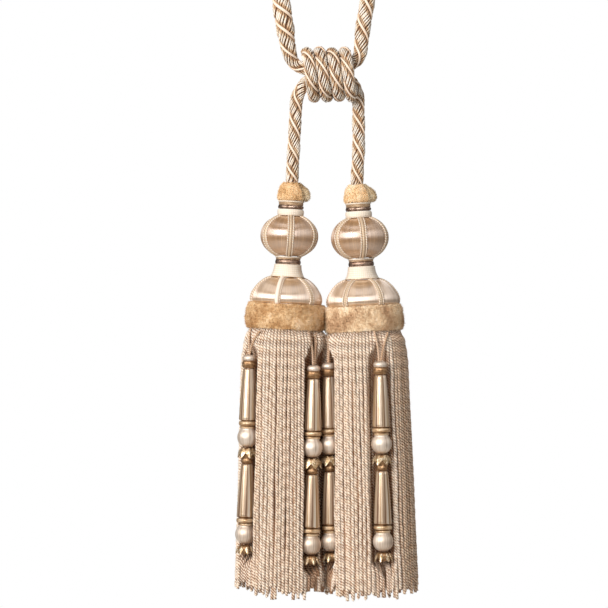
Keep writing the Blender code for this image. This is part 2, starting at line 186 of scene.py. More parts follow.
def node(made, kind, sockets=None, **settings):
    """Adds a node. A number fills a socket, and another node's output is linked to it."""
    added = made.node_tree.nodes.new("ShaderNode" + kind)
    for key, value in settings.items():
        setattr(added, key, value)
    for key, value in (sockets or {}).items():
        value = getattr(value, "output", value)
        if isinstance(value, bpy.types.NodeSocket):
            made.node_tree.links.new(value, added.inputs[key])
        else:
            added.inputs[key].default_value = value
    return added


def to_shader(made, **sockets):
    """Links values to the shader's sockets."""
    for socket, value in sockets.items():
        shader = made.node_tree.nodes["Principled BSDF"]
        made.node_tree.links.new(getattr(value, "output", value), shader.inputs[socket.replace("_", " ")])


class Value:
    """A number that a material works out at every point of a surface."""

    def __init__(self, made, output):
        self.made, self.output = made, output

    def math(self, operation, *others):
        added = node(self.made, "Math", dict(enumerate((self, *others))), operation=operation)
        return Value(self.made, added.outputs[0])

    def __add__(self, other):
        return self.math("ADD", other)

    def __mul__(self, other):
        return self.math("MULTIPLY", other)


print("nodes ready")

# %% Values: the UV map, stripes and noise


def map_parts(made):
    """The UV map as two numbers: U in turns round the piece, V in millimetres along it."""
    split = node(made, "SeparateXYZ", {0: node(made, "UVMap", uv_map="UVMap").outputs["UV"]})
    return Value(made, split.outputs[0]), Value(made, split.outputs[1])


def stripes(made, around, along):
    """A sine from 0 to 1 with so many stripes round the piece and so many to a millimetre along it."""
    u, v = map_parts(made)
    return ((u * around + v * along) * TURN).math("SINE") * 0.5 + 0.5


def speckle(made, scale, detail=2.0, roughness=0.5, spot=None):
    """Noise from 0 to 1, in the piece's own space unless another spot is given."""
    spot = spot or node(made, "TexCoord").outputs["Object"]
    added = node(made, "TexNoise", {"Vector": spot, "Scale": scale, "Detail": detail, "Roughness": roughness})
    return Value(made, added.outputs["Fac"])


def streaks(made, around, along, detail=2.0):
    """Noise drawn out along the piece, as parallel fibres are."""
    u, v = map_parts(made)
    ring = [(u * TURN).math(wave) * (around / TURN) for wave in ("COSINE", "SINE")]
    spot = node(made, "CombineXYZ", dict(enumerate([*ring, v * along])))
    return speckle(made, 1.0, detail, 0.6, spot.outputs[0])


def own_tone(made):
    """The tone that each cord of a bundle keeps, with any painted shade or light added to it."""
    return Value(made, node(made, "Attribute", attribute_name="tone").outputs["Fac"])


def painted_groove_shade(made, level, depth):
    """Painted shade: 0 on a thread's crest, growing to depth where it turns away from outward and sinks by its
    neighbours.
    """
    facing = (map_parts(made)[0] * TURN).math("COSINE")
    return (facing * -1.0 + level).math("MAXIMUM", 0.0) * depth


print("values ready")

# %% Colours and relief


def ramp(value, stops):
    """Colours along a value: stops are (place, colour code)."""
    added = node(value.made, "ValToRGB", {"Fac": value})
    marks = added.color_ramp.elements
    while len(marks) < len(stops):
        marks.new(0.5)
    for mark, (place, code) in zip(marks, stops):
        mark.position, mark.color = place, linear(code)
    return added.outputs["Color"]


def mixed(amount, first, second, how="MIX"):
    """Two colours mixed by an amount."""
    return node(amount.made, "Mix", {0: amount, 6: first, 7: second}, data_type="RGBA", blend_type=how).outputs[2]


def shaded_in_dips(colour, wave, most, code):
    """The colour, with painted shade from another one in the dips of a wave."""
    return mixed(wave * -most + most, colour, linear(code), "MULTIPLY")


def relief(height, strength, distance):
    sockets = {"Height": height, "Strength": strength, "Distance": distance * MM}
    return node(height.made, "Bump", sockets).outputs["Normal"]


def down_the_map(made):
    """The direction in which floss stretches a highlight."""
    return node(made, "Tangent", direction_type="UV_MAP", uv_map="UVMap").outputs["Tangent"]


print("colours ready")

# %% [markdown]
# ## Cords in general
#
# Everything long and thin here is made the same way: a line of points, and a ring of points round each of them. Many
# cords of one kind share one mesh. Each cord keeps a tone from 0 to 1, so that one finish can colour them all a
# little differently, and painted shade or light is added to the tone in some places. Each also keeps a UV map that
# runs round and along it, for the fine twist of its fibres. U starts on the side that faces away from the bundle the
# cord lies in, so a finish can paint shade on the sides that sink between neighbours, however thin the tube is.

# %% Lines


def random_numbers(seed):
    return np.random.default_rng(seed)


def unit(v):
    return v / np.linalg.norm(v, axis=-1, keepdims=True)


def eased(line, rounds):
    """Evens out the bends of a line and holds its ends."""
    for _ in range(rounds):
        line[1:-1] = 0.25 * line[:-2] + 0.5 * line[1:-1] + 0.25 * line[2:]
    return line


def smooth_line(points, per_span=24, rounds=60):
    """A smooth curve through rows of numbers, with its bends evened out."""
    rows = np.array(points, float)
    padded = np.vstack([rows[:1], rows, rows[-1:]])
    t = (np.arange(per_span) / per_span)[:, None]
    spans = []
    for a, b, c, d in zip(padded, padded[1:], padded[2:], padded[3:]):
        spans.append(0.5 * (2 * b + (c - a) * t + (2 * a - 5 * b + 4 * c - d) * t**2 + (3 * b - a - 3 * c + d) * t**3))
    return eased(np.vstack(spans + [rows[-1:]]), rounds)


def run_along(lines):
    """Each point's distance along its line."""
    steps = np.linalg.norm(np.diff(lines, axis=-2), axis=-1)
    return np.concatenate([np.zeros_like(steps[..., :1]), np.cumsum(steps, axis=-1)], axis=-1)


def evenly(line, step):
    """The same line with points at an even distance, and each point's distance along it."""
    marks = run_along(line[:, :3])
    at = np.linspace(0.0, marks[-1], max(3, round(marks[-1] / step) + 1))
    return np.column_stack([np.interp(at, marks, column) for column in line.T]), at


def carried_frame(line):
    """Two directions square to the line at each point, carried along it without twist."""
    ahead = unit(np.gradient(line, axis=0))
    side = np.array(Vector(ahead[0]).orthogonal())
    sides = []
    for direction in ahead:
        side = unit(side - direction * side.dot(direction))
        sides.append(side)
    sides = np.array(sides)
    return sides, np.cross(ahead, sides)


print("line tools ready")

# %% Tubes round lines


def tubes(lines, radius, sides, tones, look=0, outward=None, spin=None):
    """Points, quads, end caps and UV corners of round tubes: lines are (tubes, points, 3), in millimetres.

    U is 0 on the side of the tube that faces outward, if that is given, and runs on from ring to ring. With spin, U
    winds three times round the tube and slants by one turn in so many millimetres, so that a finish can paint the
    shade in the grooves of a twisted cord on a plain tube.
    """
    lines = np.asarray(lines, float)
    radius = np.broadcast_to(radius, lines.shape[:2])
    ahead = unit(np.gradient(lines, axis=1))
    side = unit(np.cross(ahead[:, 0], (0.31, 0.95, 0.05)))
    angle = TURN * np.arange(sides) / sides
    points, faced = np.empty(lines.shape[:2] + (sides, 3)), np.zeros(lines.shape[:2])
    for i in range(lines.shape[1]):
        side = unit(side - ahead[:, i] * (side * ahead[:, i]).sum(1, keepdims=True))
        other = np.cross(ahead[:, i], side)
        ring = np.cos(angle)[None, :, None] * side[:, None] + np.sin(angle)[None, :, None] * other[:, None]
        points[:, i] = lines[:, i, None] + radius[:, i, None, None] * ring
        if outward is not None:
            faced[:, i] = np.arctan2((outward[:, i] * other).sum(1), (outward[:, i] * side).sum(1))
    along = run_along(lines)[:, :, None]
    faced = along / spin if spin else np.unwrap(faced, axis=1)[:, :, None] / TURN
    index = np.arange(points.size // 3).reshape(points.shape[:3])
    a, b = index[:, :-1], index[:, 1:]
    quads = np.stack([a, np.roll(a, -1, 2), np.roll(b, -1, 2), b], axis=3).reshape(-1, 4)
    wound = 3 if spin else 1
    u = np.broadcast_to(wound * np.arange(sides) / sides, a.shape)
    low, high = (np.broadcast_to(part, a.shape) for part in (along[:, :-1], along[:, 1:]))
    here, there, wide = u - faced[:, :-1], u - faced[:, 1:], wound / sides
    uv = np.stack([here, low, here + wide, low, there + wide, high, there, high], axis=3).reshape(-1, 2)
    caps = np.concatenate([index[:, 0, ::-1], index[:, -1]])
    tones = np.repeat(np.asarray(tones, float), points.shape[1] * sides)
    return {"points": points.reshape(-1, 3), "quads": quads, "uv": uv, "caps": caps, "look": look, "tone": tones}


def toned(bundle, more):
    """Adds more, given for each point of each line, to the tone of the whole ring there."""
    bundle["tone"] = bundle["tone"] + np.repeat(more.ravel(), len(bundle["points"]) // more.size)
    return bundle


def cord_object(name, bundles, looks):
    """One object from bundles of tubes. A bundle's look is the place of its finish in the list."""
    sizes, corners, uv, kinds, first = [], [], [], [], 0
    for b in bundles:
        corners += [(b["quads"] + first).ravel(), (b["caps"] + first).ravel()]
        sizes += [np.full(len(b["quads"]), 4), np.full(len(b["caps"]), b["caps"].shape[1])]
        uv += [b["uv"], np.zeros((b["caps"].size, 2))]
        kinds.append(np.full(len(b["quads"]) + len(b["caps"]), b["look"]))
        first += len(b["points"])
    sizes, corners = np.concatenate(sizes), np.concatenate(corners)
    tones = np.concatenate([b["tone"] for b in bundles])
    mesh = bpy.data.meshes.new(name)
    mesh.vertices.add(first)
    mesh.vertices.foreach_set("co", (np.concatenate([b["points"] for b in bundles]) * MM).ravel())
    mesh.loops.add(len(corners))
    mesh.loops.foreach_set("vertex_index", corners)
    mesh.polygons.add(len(sizes))
    mesh.polygons.foreach_set("loop_start", np.concatenate([[0], np.cumsum(sizes)[:-1]]))
    mesh.polygons.foreach_set("material_index", np.concatenate(kinds))
    mesh.update(calc_edges=True)
    mesh.uv_layers.new(name="UVMap").uv.foreach_set("vector", np.concatenate(uv).ravel())
    mesh.attributes.new("tone", "FLOAT", "POINT").data.foreach_set("value", tones)
    mesh.shade_smooth()
    for look in looks:
        mesh.materials.append(look)
    return linked(bpy.data.objects.new(name, mesh))


def linked(piece):
    bpy.context.scene.collection.objects.link(piece)
    return piece


def settle(piece, stands_for):
    """The piece rides on the one body, and stands for a node of the fixed model, which is hidden."""
    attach(piece, "root")
    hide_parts(stands_for)
    return piece


def count_of(piece):
    return sum(len(face.vertices) - 2 for face in piece.data.polygons)


print("tube tools ready")

# %% [markdown]
# ## The rope
#
# The rope is two fat strands laid round each other, with a smooth pale cord in each of the two grooves between them.
# A fat strand is itself ten yarns that turn the other way, and faster, so on its back they slant against the groove
# cords. Each yarn is a tube, round a few thick filler tubes that keep the light from falling through. A real rope
# isn't twisted evenly: it opens where it is slack and turns with each bend, so a short table eases the twist along
# it. The line is the fixed model's own: up from the left tassel, through the knot, round the loop and the hook, and
# down to the right one.

# %% The rope's line
KNOT_DEPTH, CORE_R, THICK, STEP = 54.8, 6.0, 9.6, 1.15
core_rows = []
for side, lead in ((-1, 0.0), (1, math.radians(45))):
    rows = []
    for i in range(5):
        angle = lead + (math.pi - 2 * lead) * i / 4
        depth = KNOT_DEPTH - side * CORE_R * math.cos(angle)
        rows.append((2.2 + 15.5 * (i / 2 - 1), side * CORE_R * math.sin(angle), depth, THICK))
    core_rows.append(rows)
ROPE_ROWS = [
    (-23.4, 0.0, 136.9, 9.6), (-23.3, 0.0, 126.0, 9.6), (-22.3, 0.0, 110.0, 9.6), (-21.4, 0.0, 93.0, 9.6),
    (-20.7, 0.6, 80.0, 9.6), (-19.6, 1.4, 70.5, 9.6), *core_rows[0], (25.6, -0.6, 42.5, 9.6), (27.4, -0.4, 31.5, 11.2),
    (29.0, 0.0, 17.0, 11.6), (32.0, 0.0, 0.0, 11.4), (36.0, 0.0, -45.0, 10.6), (39.5, 0.0, -100.0, 10.6),
    (39.5, 0.0, -155.0, 10.6), (33.0, 0.0, -202.0, 10.6), (18.5, 0.0, -231.0, 10.6), (0.0, 0.0, -240.3, 10.6),
    (-18.5, 0.0, -231.0, 10.6), (-33.0, 0.0, -202.0, 10.6), (-39.5, 0.0, -155.0, 10.6), (-39.5, 0.0, -100.0, 11.4),
    (-36.0, 0.0, -45.0, 13.0), (-31.6, 0.0, 0.0, 13.6), (-29.0, 0.2, 17.5, 13.6), (-27.2, 1.2, 30.0, 12.4),
    (-24.8, 3.4, 40.5, 10.4), (-21.2, 5.0, 47.0, 9.6), *core_rows[1], (22.6, 6.2, 63.0, 9.6), (25.2, 8.0, 71.5, 9.6),
    (25.4, 6.6, 81.0, 9.6), (25.6, 3.0, 97.0, 9.6), (25.4, 0.6, 112.0, 9.6), (24.55, 0.0, 126.0, 9.6),
    (24.3, 0.0, 138.4, 9.6),
]  # X, Y, depth, diameter
rope_line, rope_along = evenly(smooth_line([(x, y, down(depth), thick) for x, y, depth, thick in ROPE_ROWS]), STEP)
print("rope", round(rope_along[-1]), "mm long in", len(rope_line), "points")

# %% The knot's line
WRAP_TURNS, WRAP_PITCH, WRAP_R, WRAP_THICK = 4, 9.2, 16.15, 9.1
wrap_rows = []
for i in range(16 * WRAP_TURNS + 1):
    angle = -math.pi / 2 + (TURN * (WRAP_TURNS - 1) + math.radians(82) + math.pi / 2) * i / (16 * WRAP_TURNS)
    turn = angle / TURN
    x = 3.8 + (turn - (WRAP_TURNS - 1) / 2) * WRAP_PITCH + 0.5 * math.sin(angle)
    z = down(KNOT_DEPTH) - WRAP_R * math.sin(angle) * (1.0 + 0.03 * math.sin(2.4 * turn))
    wrap_rows.append((x, -WRAP_R * math.cos(angle), z, WRAP_THICK))
wrap_line, wrap_along = evenly(smooth_line(wrap_rows), STEP)
print("knot's turns", round(wrap_along[-1]), "mm of rope")

# %% Laying yarns into a rope
TWIST_PITCH, YARN_PITCH, YARNS = 38.0, 14.0, 10
DRAWN_THICK = 10.4  # the rope's diameter for which the sizes below are given
STRAND_OUT, STRAND_DEEP, STRAND_WIDE = 2.45, 2.15, 3.4  # a strand's distance from the axis, and its yarns from it
YARN_R, GROOVE_R, GROOVE_OUT, FILLER_R = 0.68, 0.98, 4.1, 1.8


def lay_rope(line, along, seed, extra=((0.0, 0.0),)):
    """The tubes of a rope: filler, two strands of yarns and two groove cords. Extra is the added twist along it."""
    drawn = random_numbers(seed)
    side, other = carried_frame(line[:, :3])
    size = line[:, 3] / DRAWN_THICK
    turn = -TURN * (along + eased(np.interp(along, *np.array(extra).T), 40)) / TWIST_PITCH

    def laid(out, across, angle):
        x = out * np.cos(angle) - across * np.sin(angle)
        y = out * np.sin(angle) + across * np.cos(angle)
        return line[:, :3] + x[:, None] * side + y[:, None] * other

    yarns, outward, near = [], [], []
    for strand in (0, 1):
        lobe = turn + math.pi / 2 + math.pi * strand
        for j in range(YARNS):
            t = TURN * (j + 0.5 * strand) / YARNS + TURN * along / YARN_PITCH
            t = t + 0.2 * np.sin(along / 19 + 6.3 * drawn.random())
            angle = t - 0.09 * np.sin(2 * t)
            lift = 0.14 * np.sin(along / (7 + 9 * drawn.random()) + 6.3 * drawn.random())
            out = STRAND_OUT + (STRAND_DEEP + lift) * np.cos(angle)
            across = (STRAND_WIDE + lift) * np.sin(angle)
            yarns.append(laid(size * out, size * across, lobe))
            outward.append(yarns[-1] - laid(size * STRAND_OUT, size * 0.0, lobe))
            # near: painted shade on the sides of the yarns that lie beside the groove cords, added to their tone.
            near.append(0.5 * np.clip((np.abs(np.sin(angle)) - 0.72) / 0.28, 0.0, 1.0))
    grooves = np.array([laid(size * GROOVE_OUT, size * 0.0, turn + math.pi * k) for k in (0, 1)])
    filler = [laid(size * STRAND_OUT * k, size * 1.5 * e, turn + math.pi / 2) for k in (-1, 1) for e in (-1, 1)]
    tones = 0.02 + 0.22 * drawn.random(2 * YARNS)
    return [
        # The filler is toned a darker brown than the yarns: painted shade where it shows between them.
        tubes(filler, FILLER_R * size, 4, [0.7] * 4),
        toned(tubes(yarns, YARN_R * size, 4, tones, outward=np.array(outward)), np.array(near)),
        tubes(grooves, GROOVE_R * size, 6, [0.03, 0.12], look=1, outward=grooves - line[:, :3]),
    ]


print("a rope holds", 2 * YARNS + 2 + 4, "tubes")

# %% [markdown]
# ## The rope's two finishes
#
# The yarns are spun from mixed thread, from cream to a warm brown. A ramp turns a tone into the colour, and the tone
# is the yarn's own, some drift along it, painted shade on the side of the yarn that sinks between its neighbours,
# and painted shade on the yarns beside the groove cords. Fine slanting stripes on the UV map are the plies of the
# yarn: they lift it in relief, and their dips get painted shade. The groove cords are smooth and silky, so they get
# less relief, a lower roughness and a pale colour with painted shade at their sides and in the dips of their plies.

# %% Finish: mixed yarn
YARN_COLOURS = [(0.0, "FFFAF0"), (0.2, "F8EBD8"), (0.42, "E2C6A0"), (0.62, "C1966A"), (0.8, "A4764E"), (1.0, "7C5537")]
mixed_yarn = finish("mixed_yarn", Roughness=0.62, Sheen_Weight=0.25, Sheen_Roughness=0.4)
drift = streaks(mixed_yarn, 2.0, 0.2) * 0.7 + -0.35
# Painted shade on the sides of the yarns that sink between neighbours, and below, in the dips of the plies.
yarn_colour = ramp(own_tone(mixed_yarn) + drift + painted_groove_shade(mixed_yarn, 0.62, 0.75), YARN_COLOURS)
ply = stripes(mixed_yarn, 2.0, 0.5)
to_shader(mixed_yarn, Base_Color=shaded_in_dips(yarn_colour, ply, 0.4, "A0764E"), Normal=relief(ply, 0.5, 0.25))
print("yarn finish ready")

# %% Finish: smooth groove cord
GROOVE_COLOURS = [(0.0, "FCEBD8"), (0.3, "F3D8BC"), (0.6, "CFA27A"), (1.0, "7E5638")]
groove_cord = finish("groove_cord", Roughness=0.38, Sheen_Weight=0.15)
# Painted shade at the sides of the groove cords, and below, in the dips of their plies.
groove_colour = ramp(own_tone(groove_cord) + painted_groove_shade(groove_cord, 0.85, 0.7), GROOVE_COLOURS)
ply = stripes(groove_cord, 1.0, 1.1)
to_shader(groove_cord, Base_Color=shaded_in_dips(groove_colour, ply, 0.2, "C9A175"), Normal=relief(ply, 0.25, 0.12))
print("groove cord ready")

# %% The rope and the knot
ROPE_EASED = (
    (0.0, 3.0), (6.0, 4.5), (20.0, 7.8), (40.0, 8.5), (75.0, 8.5), (130.0, 2.3), (200.0, 2.3), (620.0, 8.5),
    (670.0, 8.5), (710.0, 17.0), (790.0, 27.5), (813.0, 26.6), (833.0, 25.6), (853.0, 25.6),
)  # distance along and extra twist, both in millimetres of rope
rope_cord = cord_object("rope_cord", lay_rope(rope_line, rope_along, 4, ROPE_EASED), [mixed_yarn, groove_cord])
settle(rope_cord, "rope")
knot_turns = cord_object("knot_turns", lay_rope(wrap_line, wrap_along, 11), [mixed_yarn, groove_cord])
settle(knot_turns, "knot_wrap")
print("rope", count_of(rope_cord), "and knot", count_of(knot_turns), "triangles")

# %% [markdown]
# ## Turning a piece on the lathe
#
# The moulds, bands and beads of a tassel are turned, so each starts as a circle. The circle is extruded down one ring
# at a time, and every new ring is scaled to the radius that the piece has there, as a turner's gauge would read it. A
# piece is turned upright at the origin, and its mesh is moved to its place at the end. The UV map is written from the
# angle and the depth of each corner, so that floss can run down a mould.

# %% Turning
CORE = 0.6  # radius of the ring that closes each end
SMOOTH_BELOW = math.radians(48)  # corners sharper than this stay crisp


def clear_selection():
    if bpy.context.object and bpy.context.object.mode != "OBJECT":
        bpy.ops.object.mode_set(mode="OBJECT")
    bpy.ops.object.select_all(action="DESELECT")


def outwards():
    """Ends the shaping of a mesh: its faces point outwards, and its place is applied."""
    bpy.ops.mesh.normals_make_consistent(inside=False)
    bpy.ops.object.mode_set(mode="OBJECT")
    bpy.ops.object.transform_apply(location=True, rotation=True, scale=True)


def numbers_of(rows, key, wide, kind):
    """One property of every row of a mesh, as an array."""
    found = np.empty(len(rows) * wide, kind)
    rows.foreach_get(key, found)
    return found.reshape(-1, wide) if wide > 1 else found


def in_fixed_order(piece):
    """Writes a mesh again with its points and faces in one order, which extruding leaves to chance.

    The pile picks its faces by number, so without this it would stand elsewhere on every run.
    """
    points = numbers_of(piece.data.vertices, "co", 3, np.float32)
    order = np.lexsort(points.T)
    rank, faces = np.argsort(order).tolist(), []
    for face in piece.data.polygons:
        corners = [rank[i] for i in face.vertices]
        start = corners.index(min(corners))
        faces.append(corners[start:] + corners[:start])
    piece.data.clear_geometry()
    piece.data.from_pydata(points[order].tolist(), [], sorted(faces))


def turned(name, rings, sides):
    """A closed turned piece from (radius, depth) rings, top to bottom, in millimetres."""
    clear_selection()
    radius, depth = rings[0]
    where = (0.0, 0.0, -depth * MM)
    bpy.ops.mesh.primitive_circle_add(vertices=sides, radius=radius * MM, fill_type="NGON", location=where)
    piece = bpy.context.object
    piece.name = piece.data.name = name
    bpy.ops.object.mode_set(mode="EDIT")
    for (was, above), (now, below) in zip(rings, rings[1:]):
        bpy.ops.mesh.extrude_region_move(TRANSFORM_OT_translate={"value": (0.0, 0.0, (above - below) * MM)})
        bpy.ops.transform.resize(value=(now / was, now / was, 1.0), center_override=(0.0, 0.0, -below * MM))
    bpy.ops.mesh.select_all(action="SELECT")
    outwards()
    in_fixed_order(piece)
    bpy.ops.object.shade_smooth_by_angle(angle=SMOOTH_BELOW)
    return piece


print("the lathe is ready")

# %% Shaping what was turned


def points_of(piece):
    """A mesh's points in millimetres, as (count, 3) numbers."""
    return numbers_of(piece.data.vertices, "co", 3, np.float32).astype(float) / MM


def move_points(piece, points):
    piece.data.vertices.foreach_set("co", (points * MM).ravel())
    piece.data.update()


def swell(piece, amount):
    """Moves each point out from the axis by amount(angle, radius, depth), all in arrays."""
    points = points_of(piece)
    radius, angle = np.hypot(points[:, 0], points[:, 1]), np.arctan2(points[:, 0], -points[:, 1])
    wider = np.where(radius > 0.5, radius + amount(angle, radius, -points[:, 2]), radius)
    points[:, 0], points[:, 1] = wider * np.sin(angle), -wider * np.cos(angle)
    move_points(piece, points)


def dressed(piece, looks, bands=((0.0, 0),)):
    """Gives each face the finish of the last band that starts above it, and writes the UV map.

    Bands are (depth, place in looks). U counts turns round the axis, and V millimetres down and in from the rim.
    """
    mesh, points = piece.data, points_of(piece)
    for look in looks:
        mesh.materials.append(look)
    for face in mesh.polygons:
        depth = -face.center.z / MM
        face.material_index = [place for start, place in bands if start <= depth or start == bands[0][0]][-1]
    corner = numbers_of(mesh.loops, "vertex_index", 1, np.int32)
    first = np.array([face.loop_start for face in mesh.polygons])
    owner = np.repeat(np.arange(len(first)), [face.loop_total for face in mesh.polygons])
    u = np.arctan2(points[:, 0], -points[:, 1])[corner] / TURN
    past = u - u[first][owner]
    u = np.where(past > 0.5, u - 1, np.where(past < -0.5, u + 1, u))
    v = -points[:, 2][corner] - 0.4 * np.hypot(points[:, 0], points[:, 1])[corner]
    layer = mesh.uv_layers.get("UVMap") or mesh.uv_layers.new(name="UVMap")
    layer.uv.foreach_set("vector", np.column_stack([u, v]).astype(np.float32).ravel())
    return piece


print("shaping tools ready")

# %% Joining, placing and copying


def joined(name, *pieces):
    clear_selection()
    for piece in pieces:
        piece.select_set(True)
    bpy.context.view_layer.objects.active = pieces[0]
    bpy.ops.object.join()
    pieces[0].name = pieces[0].data.name = name
    return pieces[0]


def placed(piece, place):
    """Moves a finished piece's mesh, and leaves its object at the origin."""
    piece.data.transform(place)
    piece.data.update()
    return piece


def copied(piece, name, place):
    twin = piece.copy()
    twin.data = piece.data.copy()
    twin.name = twin.data.name = name
    return placed(linked(twin), place)


def fitted(piece, tassel, part):
    """Brings an upright piece to its tassel, where it stands for that part of the fixed model."""
    return settle(placed(piece, tassel_place(tassel)), f"{part}_{tassel}")


def fitted_to_both(slot, **patterns):
    """Copies pieces to each tassel, by the part that each stands for, and takes the patterns away."""
    for name in TASSELS:
        for part, pattern in patterns.items():
            settle(copied(pattern, f"{pattern.name}_{name}", tassel_place(name)), f"{part}_{name}")
    for pattern in patterns.values():
        print(pattern.name, "on both tassels,", count_of(pattern), "triangles each")
        bpy.data.objects.remove(pattern)


print("fitting tools ready")

# %% [markdown]
# ## Finishes of the head
#
# The moulds are covered with silky floss laid straight down, side by side. Such a surface spreads a light sideways,
# across the threads, into one bright level band, so the shader's highlight is stretched along U, round the mould.
# The dome's floss is lighter than the ball's, and the pendants' beads are wound with a paler one. Velvet is the other
# way about: its pile drinks light and only its edge glows, which is what sheen is for. Its colour changes where the
# pile lies another way, so a noise picks it from a ramp. The right band and the caps have the same finish in other
# colours. The narrow bands are metal-bound gimp, and the collar and the disc are woven cream cotton.

# %% Finish: floss


def floss(name, colours, threads, **sockets):
    """Silky threads laid down a mould, so many to a turn."""
    made = finish(name, **{"Anisotropic": 0.95, "IOR": 2.15, "Specular_IOR_Level": 1.0, "Metallic": 0.2, **sockets})
    thread, broad = streaks(made, threads, 0.02), streaks(made, threads / 9, 0.01)
    to_shader(
        made,
        Base_Color=ramp(thread * 0.6 + broad * 0.4, list(zip((0.3, 0.5, 0.7), colours))),
        Roughness=thread * 0.5 + (sockets.get("Roughness", 0.4) - 0.25),
        Normal=relief(thread, 0.35, 0.3),
        Tangent=down_the_map(made),
    )
    return made


champagne_floss = floss("champagne_floss", ("8E6234", "B68654", "D8AE80"), 300, IOR=2.5)
dome_floss = floss("dome_floss", ("AE8250", "DCAE7C", "F4D6AE"), 300, IOR=3.1, Roughness=0.46)
bead_sockets = {"Roughness": 0.56, "Anisotropic": 0.3, "IOR": 1.8, "Metallic": 0.85}
bead_floss = floss("bead_floss", ("B49A80", "E6D2BE", "FFF6EC"), 90, **bead_sockets)
print("floss ready")

# %% Finish: velvet
velvet_sheen = {"Sheen_Weight": 0.7, "Sheen_Roughness": 0.35, "Sheen_Tint": linear("FFE9C4")}
velvet_pile = finish("velvet_pile", Roughness=0.85, Specular_IOR_Level=0.2, **velvet_sheen)
clump, patch, fibre = (speckle(velvet_pile, *scale) for scale in ((120.0, 4.0, 0.65), (42.0, 1.0), (1400.0,)))
VELVET_COLOURS = [(0.32, "8E6238"), (0.43, "BE9060"), (0.53, "E0BC8E"), (0.66, "FAE4C8")]
pile_colour = ramp(clump * 0.5 + patch * 0.3 + fibre * 0.2, VELVET_COLOURS)
to_shader(velvet_pile, Base_Color=pile_colour, Normal=relief(fibre, 0.6, 0.5))


def dyed(name, *codes):
    """The velvet with other colours in its ramp."""
    made = velvet_pile.copy()
    made.name = name
    for step in made.node_tree.nodes:
        if step.type == "VALTORGB":
            for stop, code in zip(step.color_ramp.elements, codes):
                stop.color = linear(code)
    return made


cap_pile = dyed("cap_pile", "B8905F", "DDB583", "EFCFA3", "FBEBD2")
pale_pile = dyed("pale_pile", "967250", "C69F7A", "E5C8A2", "FBEAD4")
tucked_pile = dyed("tucked_pile", "74583C", "B4966E", "D9C4A2", "F3E8D4")
print("velvet ready, lighter for the caps, paler for the right band and greyer for the caps' tucked ends")

# %% Finish: metal-bound gimp, glossy and dull


def gimp(name, colours, wraps, **sockets):
    """Metal thread wound side by side, so many wraps to a turn."""
    made = finish(name, **sockets)
    wrap = stripes(made, wraps, 0.0)
    worn = ramp(streaks(made, wraps / 5, 0.6), list(zip((0.35, 0.5, 0.68), colours)))
    to_shader(made, Base_Color=mixed(wrap * 0.35, worn, linear(colours[0])), Normal=relief(wrap, 0.5, 0.2))
    return made


bright_gimp = gimp("bright_gimp", ("5E4436", "947866", "CDB09C"), 80, Metallic=0.9, Roughness=0.33)
dull_gimp = gimp("dull_gimp", ("8C6B4B", "B3926E", "D2B591"), 80, Metallic=0.2, Roughness=0.5, Sheen_Weight=0.2)
gold_thread = gimp("gold_thread", ("A98058", "D9B890", "F3DDBD"), 40, Metallic=0.45, Roughness=0.3)
bead_gimp = gimp("bead_gimp", ("6E4A2E", "A07850", "D2AA80"), 40, Metallic=0.6, Roughness=0.3)
print("gimp ready")

# %% Finish: woven cream cotton
cream_weave = finish("cream_weave", Roughness=0.7, Sheen_Weight=0.3, Sheen_Roughness=0.4)
weave = stripes(cream_weave, 44.0, 0.0) * stripes(cream_weave, 0.0, 0.75)
# Painted shade in the dips of the weave.
cream = shaded_in_dips(linear("FCF3E6"), weave, 0.55, "DCC6A8")
to_shader(cream_weave, Base_Color=cream, Normal=relief(weave, 0.5, 0.3))
print("weave ready")

# %% [markdown]
# ## Velvet with its pile
#
# Velvet shows its pile at the edge, where single tufts stand against the light, so a few thousand short tufts are set
# on the turned shape. Each is a sliver with three sides and a point, sunk a little way in. They lean at random, and
# the random numbers start from a fixed seed, so they come out the same every time.

# %% Pile
TUFT_THIN, TUFT_VARIES, TUFT_SUNK = 0.13, 0.1, 0.25


